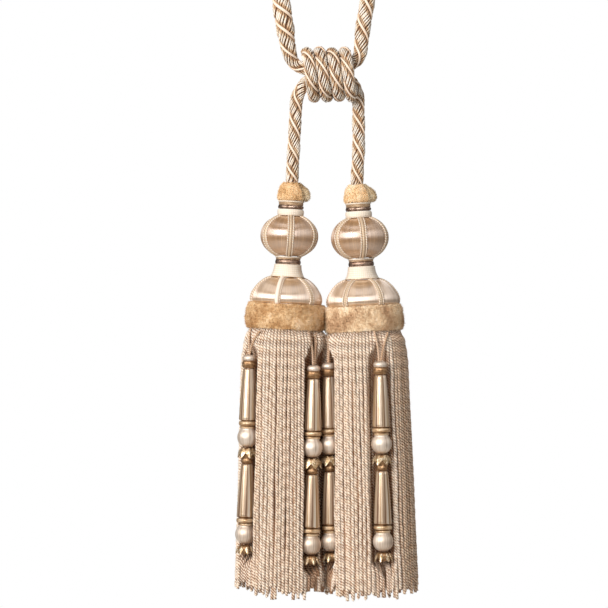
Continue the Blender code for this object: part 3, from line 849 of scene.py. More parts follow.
def with_pile(piece, count, long, seed, lean):
    """Adds tufts of about that length, in millimetres, to a piece's own mesh."""
    drawn, mesh = random_numbers(seed), piece.data
    mesh.calc_loop_triangles()
    faces = numbers_of(mesh.loop_triangles, "vertices", 3, np.int32)
    kinds = numbers_of(mesh.loop_triangles, "material_index", 1, np.int32)
    a, b, c = (points_of(piece)[faces[:, k]] for k in range(3))
    square = np.cross(b - a, c - a)
    area = np.linalg.norm(square, axis=1)
    out = square / np.maximum(area, 1e-9)[:, None]
    outside = np.einsum("ij,ij->i", out, (a + b + c) / 3 * (1, 1, 0)) > 2.0
    pick = drawn.choice(len(area), count, p=area * outside / (area * outside).sum())
    s, t = drawn.random(count), drawn.random(count)
    s, t = np.where(s + t > 1, 1 - s, s)[:, None], np.where(s + t > 1, 1 - t, t)[:, None]
    root = a[pick] + (b - a)[pick] * s + (c - a)[pick] * t
    out = unit(square[pick])
    way = unit(out + lean * drawn.normal(size=(count, 3)) * 0.5)
    side = unit(np.cross(way, drawn.normal(size=(count, 3))))
    other = np.cross(way, side)
    tall = long * (0.5 + 0.7 * drawn.random((count, 1)))
    thick = TUFT_THIN + TUFT_VARIES * drawn.random((count, 1))
    foot = root - out * TUFT_SUNK
    corner = [foot + thick * (side * math.cos(k) + other * math.sin(k)) for k in (0.0, 2.094, 4.189)]
    tufts = np.stack(corner + [root + way * tall], axis=1)
    index = np.arange(count * 4).reshape(-1, 4)
    sides = np.concatenate([index[:, three] for three in ([0, 1, 3], [1, 2, 3], [2, 0, 3], [2, 1, 0])])
    pile = bpy.data.meshes.new("pile")
    pile.from_pydata((tufts.reshape(-1, 3) * MM).tolist(), [], sides.tolist())
    for look in mesh.materials:
        pile.materials.append(look)
    pile.polygons.foreach_set("material_index", np.tile(kinds[pick], 4).astype(np.int32))
    return joined(piece.name, piece, linked(bpy.data.objects.new("pile", pile)))


def roughen(piece, scale, amount, seed):
    """Moves points out from the axis by soft noise, as pile is never quite even."""
    points = points_of(piece)
    for i, point in enumerate(points):
        far = math.hypot(point[0], point[1])
        if far > 4.0:
            push = amount * noise.noise(Vector(point) / scale + Vector((seed, 3.1, 7.7)))
            points[i, :2] *= 1 + push / far
            points[i, 2] += 0.6 * push
    move_points(piece, points)


print("pile ready")

# %% [markdown]
# ## The velvet cap
#
# A ribbon of velvet is wound round the top of the tassel, over the end of the rope, and its own end is tucked in at
# the right, where it stands out as a small lobe. The cap is turned with a socket for the rope, the lobe is drawn out
# of it, a crease is pressed in beside it, and the pile goes on last.

# %% Cap
CAP_RINGS = [
    (CORE, 2.3), (5.3, 2.2), (5.3, 0.5), (5.6, 0.1), (6.2, 0.6), (7.0, 1.4), (7.7, 2.4), (8.4, 3.8), (8.9, 5.4),
    (9.4, 7.2), (9.8, 9.2), (10.0, 11.2), (9.7, 12.4), (8.8, 13.2), (CORE, 13.2),
]


def bump(value, centre, wide, power=2):
    """1 at the centre, and falling to 0 on both sides of it."""
    return np.exp(-(((value - centre) / wide) ** power))


LOBE_HIGH, LOBE_AT, CREASE_DEEP, CREASE_AT = 4.0, 1.35, 1.6, 0.86  # millimetres, and angles in radians


def lobe(angle, radius, depth):
    return LOBE_HIGH * bump(angle, LOBE_AT, 0.45) * bump(depth, 8.5, 5.2, 4) * (radius > 6.0)


def crease(angle, radius, depth):
    return -CREASE_DEEP * bump(angle, CREASE_AT + 0.02 * depth, 0.1) * (radius > 7.0) * (depth < 12.5)


for name, seed in (("left", 3), ("right", 8)):
    cap = turned(f"velvet_cap_{name}", CAP_RINGS, 72)
    swell(cap, lobe)
    swell(cap, crease)
    roughen(cap, 1.6, 0.5, seed)
    dressed(cap, [cap_pile, tucked_pile])
    for face in cap.data.polygons:
        face.material_index = int(0.8 < math.atan2(face.center.x, -face.center.y) < 2.2)
    cap = fitted(with_pile(cap, 4200, 1.1, seed, 0.35), name, "cap")
    print(cap.name, count_of(cap), "triangles")

# %% [markdown]
# ## Bands, disc and collar
#
# Under the cap sit a thin cream cord, a band of dull gimp and a narrower one of bright gimp, and a cream disc. The
# same cord and bands come again under the ball, above a woven collar that flares out over the dome. The bands are
# turned as one piece with small steps, and each step is given its own finish.

# %% Bands
BAND_R, CORD_LOW, BANDS_HIGH = 9.3, 1.0, 6.0


def bands(name, top, dull):
    """A cream cord, a dull band of that depth and a bright band."""
    low, bright = CORD_LOW + dull, BANDS_HIGH - 1.4 - dull
    steps = [(-0.1, 0.0), (0.35, 0.3), (0.35, 0.8), (-0.2, 1.1), (-0.4, 1.2), (-0.25, 1.4)]
    steps += [(-0.25, low), (-0.5, low + 0.15), (-0.3, low + 0.3)]
    steps += [(-0.3 + 0.45 * math.sin(math.pi * t), low + 0.3 + bright * t) for t in (0.2, 0.4, 0.6, 0.8, 1.0)]
    rings = [(BAND_R + out, top + depth) for out, depth in steps]
    piece = turned(name, [(CORE, top)] + rings + [(CORE, top + BANDS_HIGH)], 64)
    swell(piece, lambda angle, r, depth: np.where((depth < top + CORD_LOW) & (r > 5), 0.12 * np.sin(9 * angle), 0.0))
    return dressed(piece, [cream_weave, dull_gimp, bright_gimp], [(0.0, 0), (top + 1.15, 1), (top + low + 0.2, 2)])


fitted_to_both("bronze", neck_band=bands("neck_bands", 13.5, 2.2), waist_band=bands("waist_bands", 54.4, 1.2))

# %% Disc and collar
DISC_RINGS = [
    (CORE, 19.7), (8.9, 19.7), (9.4, 20.0), (9.75, 20.8), (9.85, 21.9), (9.75, 23.3), (9.5, 24.2), (9.0, 24.6),
    (CORE, 24.6),
]
COLLAR_RINGS = [
    (CORE, 60.3), (9.6, 60.3), (9.9, 60.6), (9.95, 62.0), (10.2, 63.8), (10.7, 65.6), (11.3, 67.2), (12.0, 68.6),
    (12.4, 69.2), (12.5, 69.6), (12.2, 69.9), (CORE, 69.9),
]
disc, collar = turned("cream_disc", DISC_RINGS, 64), turned("woven_collar", COLLAR_RINGS, 64)
swell(collar, lambda angle, r, depth: np.where(r > 9.0, 0.16 * np.cos(32 * angle), 0.0))
fitted_to_both("cream", neck_disc=dressed(disc, [cream_weave, gold_thread]))
fitted_to_both("cream", collar=dressed(collar, [cream_weave, gold_thread], [(0.0, 0), (69.0, 1)]))

# %% [markdown]
# ## Ball and dome
#
# Both moulds are covered with floss in six panels. A braid covers each seam between two panels: a flat strip between
# two fine cords. The cords run down the mould's own profile, so they are drawn as lines from the same rings and made
# with the tube tools. On the left dome the front braid has one broad smooth cord instead.

# %% Finishes of the braids


def ridged(name, around, along, dip, crest, strength, high, **sockets):
    """Silk in relief, with painted light on its ridges and painted shade in the dips between them."""
    made = finish(name, **sockets)
    ridge = stripes(made, around, along)
    to_shader(made, Base_Color=mixed(ridge, linear(dip), linear(crest)), Normal=relief(ridge, strength, high))
    return made


seam_cord = ridged("seam_cord", 1.0, 0.55, "C2A07A", "F7EADA", 0.7, 0.3, Roughness=0.5, Sheen_Weight=0.2)
seam_strip = ridged("seam_strip", 0.0, 0.8, "C0A282", "DCC5A8", 0.4, 0.2, Roughness=0.42, Metallic=0.15)
print("braid finishes ready")

# %% A mould with braids over its seams
FINE_R, STRIP_R, BROAD_R, STRIP_SUNK = 0.52, 1.25, 1.75, 0.62


def along_profile(rings, angle, lift, offset=0.0):
    """A line down a turned profile at an angle, raised by lift and moved sideways by offset, in millimetres."""
    rows = np.array(rings)
    radius = rows[:, 0] + lift
    turn = angle + offset / np.maximum(rows[:, 0], 4.0)
    line = np.column_stack([radius * np.sin(turn), -radius * np.cos(turn), -rows[:, 1]])
    return evenly(smooth_line(line, 4, 2), 1.0)[0]


def braids(name, rings, angles, spread, broad):
    """Two fine cords and a flat strip at each angle, or a broad cord and a fine one at the first."""
    cords, strips, wide = [], [], []
    for angle in angles:
        if broad and angle == angles[0]:
            wide.append(along_profile(rings, angle, 0.25))
            cords.append(along_profile(rings, angle, 0.15, 2.0))
            continue
        cords += [along_profile(rings, angle, 0.2, -spread), along_profile(rings, angle, 0.2, spread)]
        strips.append(along_profile(rings, angle, -STRIP_SUNK))
    drawn = random_numbers(5)
    bundles = [tubes(cords, FINE_R, 6, drawn.random(len(cords)))]
    bundles.append(tubes(strips, STRIP_R, 8, drawn.random(len(strips)), 1))
    if wide:
        bundles.append(tubes(wide, BROAD_R, 10, [0.0], look=2, outward=np.array(wide) * (1.0, 1.0, 0.0)))
    return cord_object(name, bundles, [seam_cord, seam_strip, groove_cord])


def wound_mould(kind, tassel, rings, look, first, spread, drawn_in, broad=False):
    """A mould covered with floss, drawn in a little under each of its six braids."""
    mould = turned(f"floss_{kind}", [(CORE, rings[0][1])] + rings + [(CORE, rings[-1][1])], 144)
    least_r, lowest = drawn_in

    def panels(angle, r, depth):
        return np.where((r > least_r) & (depth < lowest), -0.35 * np.abs(np.cos(3 * (angle - first))) ** 9, 0.0)

    swell(mould, panels)
    dressed(mould, [look])
    seams = [first + math.pi / 3 * k for k in range(6)]
    mould = joined(f"floss_{kind}_{tassel}", mould, braids(f"{kind}_braids", rings, seams, spread, broad))
    fitted(mould, tassel, kind)
    print(mould.name, count_of(mould), "triangles")


print("mould tools ready")

# %% Ball
BALL_TOP, BALL_LOW, BALL_R, BALL_END = 24.9, 53.9, 21.3, math.radians(68)
ball_rings = []
for i in range(27):
    up = BALL_END * (1 - i / 13)
    fall = (BALL_LOW - BALL_TOP) / 2 * math.sin(up) / math.sin(BALL_END)
    ball_rings.append((BALL_R * math.cos(up) ** 0.85, (BALL_TOP + BALL_LOW) / 2 - fall))
for name, first in (("left", 0.05), ("right", 0.12)):
    wound_mould("ball", name, ball_rings, champagne_floss, first, 1.9, (9.0, BALL_LOW + 1.0))

# %% Dome
DOME_RINGS = [
    (11.6, 70.2), (13.6, 70.6), (15.6, 71.3), (17.6, 72.4), (19.4, 73.7), (21.0, 75.2), (22.5, 76.9), (23.7, 78.7),
    (25.0, 80.5), (25.9, 82.4), (26.45, 84.2), (26.65, 85.6), (26.6, 86.8), (26.3, 87.8), (25.8, 88.5), (25.3, 89.0),
]
wound_mould("dome", "left", DOME_RINGS, dome_floss, math.radians(-14), 1.6, (12.0, 88.9), broad=True)
wound_mould("dome", "right", DOME_RINGS, dome_floss, math.radians(-31), 1.6, (12.0, 88.9))

# %% [markdown]
# ## The ruched velvet band
#
# A wide velvet band hides where the skirt is sewn to the dome. It is gathered only a little, so it has a few soft
# slanting folds and a rolled edge at the top. It is hollow below, where the skirt's backing sits. The two bands press
# on each other between the tassels, so each is a little fuller there.

# %% Ruche
RUCHE_RINGS = [
    (CORE, 89.3), (25.4, 89.3), (26.6, 89.6), (27.4, 90.4), (27.9, 91.6), (28.1, 93.0), (28.3, 95.0), (28.4, 97.0),
    (28.45, 99.0), (28.45, 101.0), (28.35, 103.0), (28.1, 105.0), (27.8, 106.6), (27.3, 107.6), (26.8, 107.7),
    (26.4, 107.5), (26.4, 103.6), (CORE, 103.5),
]


def ruche(name, look, seed):
    piece = turned(f"velvet_ruche_{name}", RUCHE_RINGS, 168)
    phase = 6.28 * random_numbers(seed).random(3)

    def folds(angle, r, depth):
        soft = 0.32 * np.sin(5 * angle + 0.30 * depth + phase[0]) + 0.24 * np.sin(11 * angle - 0.22 * depth + phase[1])
        swirl = -0.35 * bump(depth, 97.0 + 3.5 * np.sin(angle + phase[2]), 1.1) * (np.sin(2 * angle + phase[2]) > 0)
        edge = -0.55 * bump(depth, 91.4, 0.5)
        pressed = 0.9 * np.clip(np.cos(angle - inner_way(name)), 0.0, 1.0) ** 8
        return np.where((r > 27.0) & (depth < 107.0), soft + swirl + edge + pressed, 0.0)

    swell(piece, folds)
    roughen(piece, 1.8, 1.1, seed)
    piece = with_pile(dressed(piece, [look]), 9000, 1.5, seed, 0.55)
    print(piece.name, count_of(piece), "triangles")
    fitted(piece, name, "ruche")


ruche("left", velvet_pile, 21)
ruche("right", pale_pile, 34)

# %% [markdown]
# ## Where the pendants hang
#
# Three pendants hang round each skirt, half sunk into it, so the strands must part round them. The strands are laid
# out as if the skirt were alone, and each point that would run into a pendant is then moved to the near side of a
# circle round it. The circle grows from the hanging cords to the pendant. Below it the front strands stay a little
# apart, and those behind them close up and hang straight, so they are what is seen there.

# %% Pendants' places
PENDANTS = {
    "p1": ("left", -56.5, 19.9, 1.3), "p2": ("left", 50.5, 25.0, 0.9), "p3": ("left", 176.0, 22.5, 1.4),
    "p4": ("right", -72.0, 21.7, 0.9), "p5": ("right", 19.0, 22.1, 0.9), "p6": ("right", 145.0, 23.5, 1.4),
}  # tassel, angle round it in degrees, drop from the ruche, outward lean in degrees
RUCHE_LOW, PENDANT_OUT, PENDANT_LONG = 107.7, 29.4, 147.8
ROOM, CORDS_ROOM = 9.7, 4.2  # how far the strands keep from a pendant's axis and from its cords


def smooth_step(t):
    t = np.clip(t, 0.0, 1.0)
    return t * t * (3.0 - 2.0 * t)


def pendant_slip(owner, lean):
    head = TASSELS[owner]["lean"]
    return math.radians(math.copysign(lean, head) - head)


def pendant_centre(row, tassel, depth):
    """A pendant's axis in a tassel's own frame, at depths below the ruche."""
    owner, angle, drop, lean = row
    turn = math.radians(angle)
    x = PENDANT_OUT * math.sin(turn) - math.tan(pendant_slip(owner, lean)) * (depth - drop)
    if owner != tassel:
        own, mine = TASSELS[owner], TASSELS[tassel]
        leaned = math.sin(math.radians(mine["lean"])) - math.sin(math.radians(own["lean"]))
        x = x + own["x"] - mine["x"] + leaned * (RUCHE_LOW + depth)
    return x, -PENDANT_OUT * math.cos(turn)


def room_round(row, depth, closing):
    drop = row[2]
    opening = CORDS_ROOM + (ROOM - CORDS_ROOM) * smooth_step((depth - 8.0) / (drop - 8.0))
    return opening * (1.0 - closing * smooth_step((depth - drop - PENDANT_LONG + 3.0) / 14.0))


def part_round(x, y, tassel, depth, drift, closing):
    """Moves points off each pendant in their way, along the near side of a circle round it."""
    for row in PENDANTS.values():
        cx, cy = pendant_centre(row, tassel, depth)
        cx, room = cx - drift * np.maximum(depth, 0.0), room_round(row, depth, closing)
        far, radius = np.hypot(cx, cy), np.maximum(np.hypot(x, y), 0.01)
        way = np.arctan2(cx, -cy)
        reach = (radius**2 + far**2 - room**2) / (2 * radius * far)
        widest = np.arccos(np.clip(reach, -1.0, 1.0))
        away = (np.arctan2(x, -y) - way + math.pi) % TURN - math.pi
        hit = (np.abs(reach) < 1.0) & (np.abs(away) < widest) & (far < radius + room)
        edge = np.arctan2(radius * np.sin(widest), far - radius * np.cos(widest))
        swing = away / np.maximum(widest, 1e-6) * edge
        along, across = far - room * np.cos(swing), room * np.sin(swing)
        x = np.where(hit, along * np.sin(way) + across * np.cos(way), x)
        y = np.where(hit, -along * np.cos(way) + across * np.sin(way), y)
    return x, y


print(len(PENDANTS), "pendants, each", PENDANT_LONG, "mm long")

# %% [markdown]
# ## The skirts
#
# A skirt is a thick fringe of two-ply cords, sewn to a backing disc inside the velvet band. The outermost layer is
# modelled ply by ply, so that the twist catches the light, and the side of a ply that sinks into the cord gets painted
# shade. Behind it stand two layers of plain tubes on which the finish draws the same twist in painted shade. Both are
# painted brown, as shade, in the gaps between the front strands. Where the middle layer comes out at the hem it is
# painted paler, as light, and it is paler just under the band too, except on the side that faces the other tassel.
# On the right tassel the front cords of its right side get painted shade. Each cord wanders a little, and each one
# ends a little higher or lower than the next.

# %% Finish: fringe
FRINGE_COLOURS = [(0.0, "FFF3E2"), (0.3, "F7DBBE"), (0.5, "E3BD98"), (0.75, "B27F59"), (1.0, "794E33")]
fringe_cord = finish("fringe_cord", Roughness=0.6, Sheen_Weight=0.3, Sheen_Roughness=0.4, Specular_IOR_Level=0.4)
patchy = streaks(fringe_cord, 1.0, 0.35) * 0.4 + -0.2
# Painted shade on the side of each ply that sinks into its cord, and in the grooves of the twist drawn on plain tubes.
fringe_colour = ramp(own_tone(fringe_cord) + painted_groove_shade(fringe_cord, 0.7, 0.95) + patchy, FRINGE_COLOURS)
fine = stripes(fringe_cord, 1.0, 1.6)
fringe_colour = mixed(fine * 0.25, fringe_colour, linear("B08A66"))
to_shader(fringe_cord, Base_Color=fringe_colour, Normal=relief(fine, 0.3, 0.12))
print("fringe finish ready")

# %% Laying a fringe


def round_places(count):
    return TURN * (np.arange(count) + 0.5) / count


def hanging_lines(tassel, count, radii, step, seed, wander, length=191.0, closing=0.3):
    """(cords, points, 3) lines of one layer of the fringe, in the tassel's own frame."""
    drawn, row = random_numbers(seed), TASSELS[tassel]
    drift = math.tan(math.radians(row["lean"])) - math.tan(math.radians(row["skirt_lean"]))
    number, angle = np.arange(count)[:, None], round_places(count)[:, None]
    uneven = 3.0 * np.sin(number * 2.399) + 1.8 * np.sin(number * 0.41) + 1.6 * drawn.normal(size=(count, 1))
    end = length - 3.5 * np.abs(np.sin(angle)) ** 6 + uneven
    depth = -1.0 + (end + 1.0) * np.linspace(0.0, 1.0, round(length / step))[None, :]
    low = radii[3] + row["flare"]
    radius = np.interp(depth, [-1.0, 8.0, 24.0, 172.0, length], [*radii[:3], low, low + 0.5])
    free = smooth_step(depth / 40.0)

    def wave(long, size):
        turns = depth * TURN / (long * (0.7 + 0.6 * drawn.random((count, 1))))
        return size * np.sin(turns + 6.3 * drawn.random((count, 1)))

    inner = np.cos(angle - inner_way(tassel))
    fuller = 2.2 * np.abs(inner) ** 1.5 * smooth_step(depth / 26.0)
    radius = radius + np.where(inner > 0, 1.3 * inner**2 * smooth_step(depth / 6.0), fuller)
    radius = radius + 3.0 * np.clip(inner, 0.0, 1.0) ** 4 * bump(depth, 4.5, 4.5)
    sway = wave(110.0, wander) + wave(37.0, 0.35 * wander) + wander * 0.8 * drawn.normal(size=(count, 1))
    angle = angle + free * sway / radii[3]
    radius = radius + free * (wave(90.0, 0.7 * wander) + 0.5 * wander * drawn.normal(size=(count, 1)))
    x, y = part_round(radius * np.sin(angle), -radius * np.cos(angle), tassel, depth, drift, closing)
    return np.stack([x + drift * np.maximum(depth, 0.0), y, -(RUCHE_LOW + depth)], axis=2)


def two_ply(lines, apart, pitch, seed):
    """The two plies of a twisted cord along each line, and the way out from its centre."""
    ahead = unit(np.gradient(lines, axis=1))
    side = unit(np.cross(ahead, (0.0, 1.0, 0.02)))
    turn = (TURN * run_along(lines) / pitch + 6.3 * random_numbers(seed).random((len(lines), 1)))[..., None]
    out = apart * (np.cos(turn) * side + np.sin(turn) * np.cross(ahead, side))
    return np.concatenate([lines + out, lines - out]), np.concatenate([out, -out])


print("fringe tools ready")

# %% Two skirts
FRONT, MIDDLE, INNER = 68, 72, 40  # cords in each layer
PLY_APART, PLY_PITCH, PLY_R = 0.66, -4.2, 0.86
MIDDLE_R, INNER_R, DRAWN_TWIST = 1.35, 1.6, -2.1
BACKING_RINGS = [(CORE, 103.9), (25.4, 103.9), (25.8, 104.6), (25.8, 106.2), (25.2, 106.9), (CORE, 106.9)]
for name, seed in (("left", 50), ("right", 70)):
    tones = random_numbers(seed).random(FRONT) * 0.15
    # Painted shade on the right tassel's front cords at its right side, turned away from the key light.
    if name == "right":
        tones = tones + 0.3 * smooth_step((np.sin(round_places(FRONT)) - 0.6) / 0.25)
    lines = hanging_lines(name, FRONT, (24.2, 27.8, 28.1, 28.4), 0.8, seed, 0.25)
    plies, outward = two_ply(lines, PLY_APART, PLY_PITCH, seed)
    outer = tubes(plies, PLY_R, 3, np.concatenate([tones, tones + 0.04]), outward=outward)
    strands = fitted(cord_object(f"skirt_strands_{name}", [outer], [fringe_cord]), name, "skirt")
    middle = hanging_lines(name, MIDDLE, (22.4, 25.8, 26.4, 27.0), 3.2, seed + 1, 0.4, 190.0, 1.0)
    inner = hanging_lines(name, INNER, (17.0, 18.6, 19.4, 20.0), 4.0, seed + 2, 0.9, 188.0)
    # Both back layers are toned browner than the front cords: painted shade behind them.
    deep = tubes(middle, MIDDLE_R, 5, 0.4 + 0.25 * random_numbers(seed + 3).random(MIDDLE), spin=DRAWN_TWIST)
    hung = -middle[:, :, 2] - RUCHE_LOW
    # painted_light_at_ends: painted light on the middle layer where it comes out at the hem, and paler just under the
    # band, except on the side that faces the other tassel.
    painted_light_at_ends = 0.42 * smooth_step((hung - 158.0) / 14.0) + 0.28 * (1.0 - smooth_step((hung - 14.0) / 14.0))
    outer_side = smooth_step((0.85 - np.cos(round_places(MIDDLE) - inner_way(name))) / 0.3)[:, None]
    toned(deep, -outer_side * painted_light_at_ends)
    deepest = tubes(inner, INNER_R, 4, np.full(INNER, 0.7), spin=DRAWN_TWIST)
    fill = cord_object("fill", [deep, deepest], [fringe_cord])
    backing = dressed(turned("backing", BACKING_RINGS, 64), [fringe_cord])
    core = fitted(joined(f"skirt_core_{name}", fill, backing), name, "skirt")
    print(strands.name, count_of(strands), core.name, count_of(core), "triangles")

# %% [markdown]
# ## The pendants
#
# A pendant is a string of turned beads: a cup, a long cone with a ball, a ring of gold leaves, a second cone and ball,
# and more leaves at the end. Floss of several colours runs down the cones, with a near-white stripe painted among them
# as a highlight, and a ring of gold thread closes each one. One pendant is modelled upright at the origin, and its
# pieces are copied to the six places, each turned so that the painted highlight faces nearly the same way. Only the
# hanging cords differ, as they follow the skirt's edge.

# %% Finish: striped floss with a painted highlight, and leaves
# The floss's own colours, with a near-white stripe among them that is a painted highlight.
STRIPE_AND_HIGHLIGHT_COLOURS = [
    (0.28, "8A6844"), (0.38, "AE8A62"), (0.45, "CEB08C"), (0.5, "F8E8D6"), (0.55, "BC9670"), (0.62, "DCC2A4"),
    (0.7, "8A6850"),
]
striped_floss = finish("striped_floss", Roughness=0.27, Anisotropic=0.3, Specular_IOR_Level=0.7, Metallic=0.5)
stripe_and_highlight = streaks(striped_floss, 17.0, 0.003, 1.0) * 1.5 + -0.25
hair = streaks(striped_floss, 110.0, 0.02)
striped = ramp(stripe_and_highlight * 0.8 + hair * 0.2, STRIPE_AND_HIGHLIGHT_COLOURS)
to_shader(striped_floss, Base_Color=striped, Normal=relief(hair, 0.5, 0.25), Tangent=down_the_map(striped_floss))
leaf_gold = finish("leaf_gold", Metallic=0.6, Roughness=0.32)
# The bright speckles of the gold are painted glints, and the same noise gives its relief.
glint = speckle(leaf_gold, 900.0)
gold = ramp(glint, [(0.35, "97774F"), (0.5, "C6A880"), (0.65, "F0DFC4")])
to_shader(leaf_gold, Base_Color=gold, Normal=relief(glint, 0.4, 0.2))
leaf_edge = finish("leaf_edge", Roughness=0.4, Metallic=0.2)
to_shader(leaf_edge, Base_Color=ramp(speckle(leaf_edge, 700.0), [(0.3, "E9D2AC"), (0.7, "FFF3DE")]))
print("pendant finishes ready")

# %% Cup and drops
CUP_RINGS = [
    (CORE, 0.3), (2.8, 0.35), (4.0, 0.8), (4.8, 1.7), (5.1, 2.8), (4.9, 3.9), (4.5, 4.4), (4.75, 4.8), (5.1, 5.6),
    (5.25, 6.8), (5.2, 8.2), (4.9, 9.3), (4.3, 9.9), (CORE, 10.0),
]
cup_bead = dressed(turned("cup_bead", CUP_RINGS, 32), [bead_floss, bead_gimp], [(0.0, 0), (4.3, 1)])


def drop_bead(name, top, low, wide, small=4.3, ball_r=7.5, ball_low=12.6):
    """A long cone, a gold ring and a ball, turned in one."""
    rings = [(CORE, top), (small - 0.5, top), (small, top + 0.4)]
    for t in (0.06, 0.16, 0.28, 0.4, 0.52, 0.64, 0.76, 0.87, 0.95):
        rings.append((small + (wide - small) * (t + 0.12 * math.sin(math.pi * t)), top + (low - top) * t))
    under = [(wide, -0.6), (wide - 0.4, 0.0), (4.9, 0.5), (4.9, 0.9), (5.9, 1.0), (wide - 0.2, 1.4)]
    under += [(wide + 0.1, 2.2), (wide + 0.1, 3.0), (wide - 0.3, 3.8), (5.6, 4.2), (5.0, 4.4), (5.5, 4.8), (5.7, 5.4)]
    under += [(5.4, 6.0), (5.0, 6.5)]
    for depth in (7.2, 8.0, 9.0, 10.2, 11.4, 12.6, 13.8, 15.0, 16.2, 17.3, 18.2, 19.0, 19.6):
        under.append((math.sqrt(ball_r**2 - (depth - ball_low) ** 2), depth))
    piece = turned(name, rings + [(r, low + depth) for r, depth in under + [(CORE, 19.9)]], 40)
    steps = [(0.0, 0)] + [(low + depth, place) for depth, place in ((-0.3, 1), (1.1, 2), (3.8, 1), (4.7, 2), (6.1, 3))]
    return dressed(piece, [striped_floss, bead_gimp, gold_thread, bead_floss], steps)


upper_drop, lower_drop = drop_bead("upper_drop", 10.3, 47.8, 6.6), drop_bead("lower_drop", 80.1, 118.6, 6.7)
print("a drop", count_of(upper_drop), "triangles")

# %% Leaves
UPPER_CORE = [
    (CORE, 68.3), (3.0, 68.5), (4.3, 69.6), (4.7, 71.4), (4.4, 73.6), (3.6, 75.4), (4.1, 76.4), (4.3, 77.6),
    (4.1, 78.9), (3.4, 79.7), (CORE, 79.8),
]
LOWER_CORE = [(CORE, 139.1), (3.1, 139.3), (4.4, 140.4), (4.6, 142.4), (3.8, 144.4), (2.2, 145.6), (CORE, 146.0)]
ORIGIN, LEAF_EDGE = (0.0, 0.0, 0.0), 0.42


def folded_leaf(wide, above, below, thick, lean, out, depth, angle):
    """One pointed leaf with a fold down its middle and a pale edge, leaning out from the bead."""
    clear_selection()
    tip = {"radius1": MM, "radius2": 0.0, "depth": above * MM, "location": (0.0, 0.0, above / 2 * MM)}
    bpy.ops.mesh.primitive_cone_add(vertices=4, end_fill_type="NGON", **tip)
    leaf = bpy.context.object
    bpy.ops.object.transform_apply(location=True)
    base = max(leaf.data.polygons, key=lambda face: len(face.vertices)).index
    bpy.ops.object.mode_set(mode="EDIT")
    bpy.ops.mesh.select_all(action="DESELECT")
    bpy.ops.object.mode_set(mode="OBJECT")
    leaf.data.polygons[base].select = True
    bpy.ops.object.mode_set(mode="EDIT")
    bpy.ops.mesh.extrude_region_move(TRANSFORM_OT_translate={"value": (0.0, 0.0, -below * MM)})
    bpy.ops.mesh.merge(type="CENTER")
    bpy.ops.mesh.select_all(action="SELECT")
    bpy.ops.transform.resize(value=(wide / 2, thick, 1.0), center_override=ORIGIN)
    bpy.ops.mesh.bevel(offset=LEAF_EDGE * MM, segments=1, affect="EDGES", material=1)
    bpy.ops.mesh.select_all(action="SELECT")
    bpy.ops.transform.rotate(value=math.radians(lean), orient_axis="X", center_override=ORIGIN)
    bpy.ops.transform.translate(value=(0.0, -out * MM, -depth * MM))
    bpy.ops.transform.rotate(value=angle, orient_axis="Z", center_override=ORIGIN)
    outwards()
    for look in (leaf_gold, leaf_edge):
        leaf.data.materials.append(look)
    return leaf


def leaf_ring(name, core_rings, count, *leaf):
    core = dressed(turned("core", core_rings, 24), [leaf_gold, leaf_edge, bead_gimp], [(0.0, 2)])
    ring = joined(name, core, *[folded_leaf(*leaf, TURN * k / count) for k in range(count)])
    print(name, count_of(ring), "triangles")
    return ring


# count, then each leaf's width, length above and below its widest place, thickness, lean, distance out and depth
upper_petals = leaf_ring("upper_petals", UPPER_CORE, 6, 8.0, 4.2, 6.0, 1.8, 24.0, 5.0, 71.2)
lower_petals = leaf_ring("lower_petals", LOWER_CORE, 7, 4.4, 3.6, 6.2, 1.1, 22.0, 5.3, 142.0)

# %% Hanging cords
ARCH, OUTER_ARCHES = 2.6, {"p1": 9.5, "p2": 4.5, "p3": 5.0, "p4": 5.5, "p5": 7.0, "p6": 5.0}
FINE_APART, FINE_PITCH, FINE_PLY_R = 0.42, -3.0, 0.5


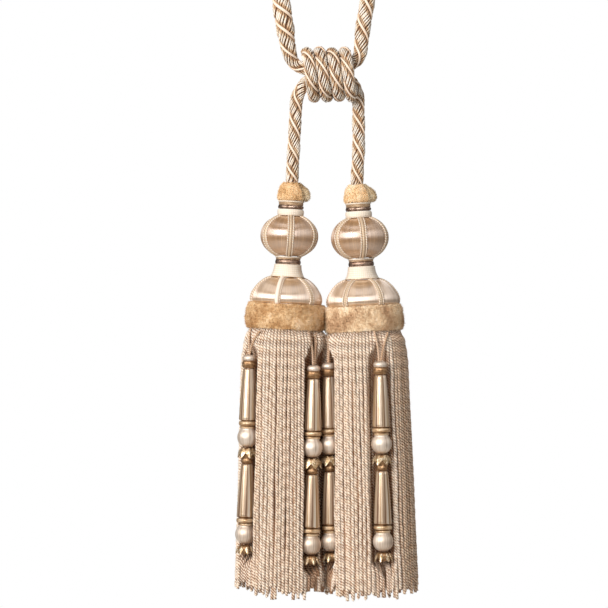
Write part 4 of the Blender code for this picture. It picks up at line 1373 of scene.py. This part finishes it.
def hanging_cords(name, drop, turn):
    """Two thin two-ply cords from the skirt's edge down to the cup, in the pendant's own frame. They arch apart."""
    across, inward = np.array((math.cos(turn), math.sin(turn), 0.0)), np.array((-math.sin(turn), math.cos(turn), 0.0))
    legs = []
    for sign, arch in ((-1, ARCH), (1, OUTER_ARCHES[name])):
        rows = []
        for t in np.linspace(0.0, 1.0, 9):
            apart = 0.8 + arch * t**1.5
            rise = (0.0, 0.0, 0.1 + (drop - 0.6) * t)
            rows.append(across * sign * apart + inward * (2.5 * t**3 + apart**2 / 80) + rise)
        legs.append(evenly(smooth_line(rows, 8, 4), 0.6)[0])
    short = min(len(leg) for leg in legs)
    plies, outward = two_ply(np.array([leg[:short] for leg in legs]), FINE_APART, FINE_PITCH, 9)
    tied = tubes(plies, FINE_PLY_R, 5, [0.3, 0.45, 0.4, 0.5], outward=outward)
    return cord_object(f"{name}_cords", [tied], [fringe_cord])


print("the outer cords arch", OUTER_ARCHES, "mm")

# %% The six places
PATTERNS = (
    (cup_bead, "cup", "satin"), (upper_drop, "drop_a", "satin"), (upper_petals, "petals_a", "gimp"),
    (lower_drop, "drop_b", "satin"), (lower_petals, "petals_b", "gimp"),
)
for number, (name, (owner, angle, drop, lean)) in enumerate(PENDANTS.items()):
    turn = math.radians(angle)
    hang = Vector((PENDANT_OUT * math.sin(turn), -PENDANT_OUT * math.cos(turn), -(RUCHE_LOW + drop))) * MM
    place = tassel_place(owner) @ Matrix.Translation(hang) @ Matrix.Rotation(pendant_slip(owner, lean), 4, "Y")
    settle(placed(hanging_cords(name, drop, turn), place), f"{name}_hanger")
    for pattern, part, slot in PATTERNS:
        # Each pendant is turned by nearly the same angle, so that the painted highlight on its cones stands left of
        # centre, as the key light's would.
        streak_turned_place = place @ Matrix.Rotation(0.34 + 0.06 * number, 4, "Z")
        settle(copied(pattern, f"{name}_{pattern.name}", streak_turned_place), f"{name}_{part}")
for pattern, _, _ in PATTERNS:
    bpy.data.objects.remove(pattern)
print("six pendants hung")

# %% Floor finish
pale_floor = finish("pale_floor", Roughness=0.8)
to_shader(pale_floor, Base_Color=ramp(speckle(pale_floor, 40.0, 3.0), [(0.3, "E8E6E2"), (0.7, "F4F2EE")]))
floor.data.materials.append(pale_floor)
print("floor finished")

# %% [markdown]
# ## Last checks
#
# The box of everything shown is kept beside the fixed model's box.

# %% Sizes and finish
low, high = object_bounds()
meshes = [piece for piece in bpy.data.objects if piece.type == "MESH"]
cords = [piece for piece in meshes if "tone" in piece.data.attributes]
print("cords in all", sum(map(count_of, cords)), "triangles, of", sum(map(count_of, meshes)))
past_low = [round(1000 * (a - b), 1) for a, b in zip(cad_low, low)]
past_high = [round(1000 * (b - a), 1) for a, b in zip(cad_high, high)]
print("stands proud of the fixed model by", past_low, past_high, "mm")
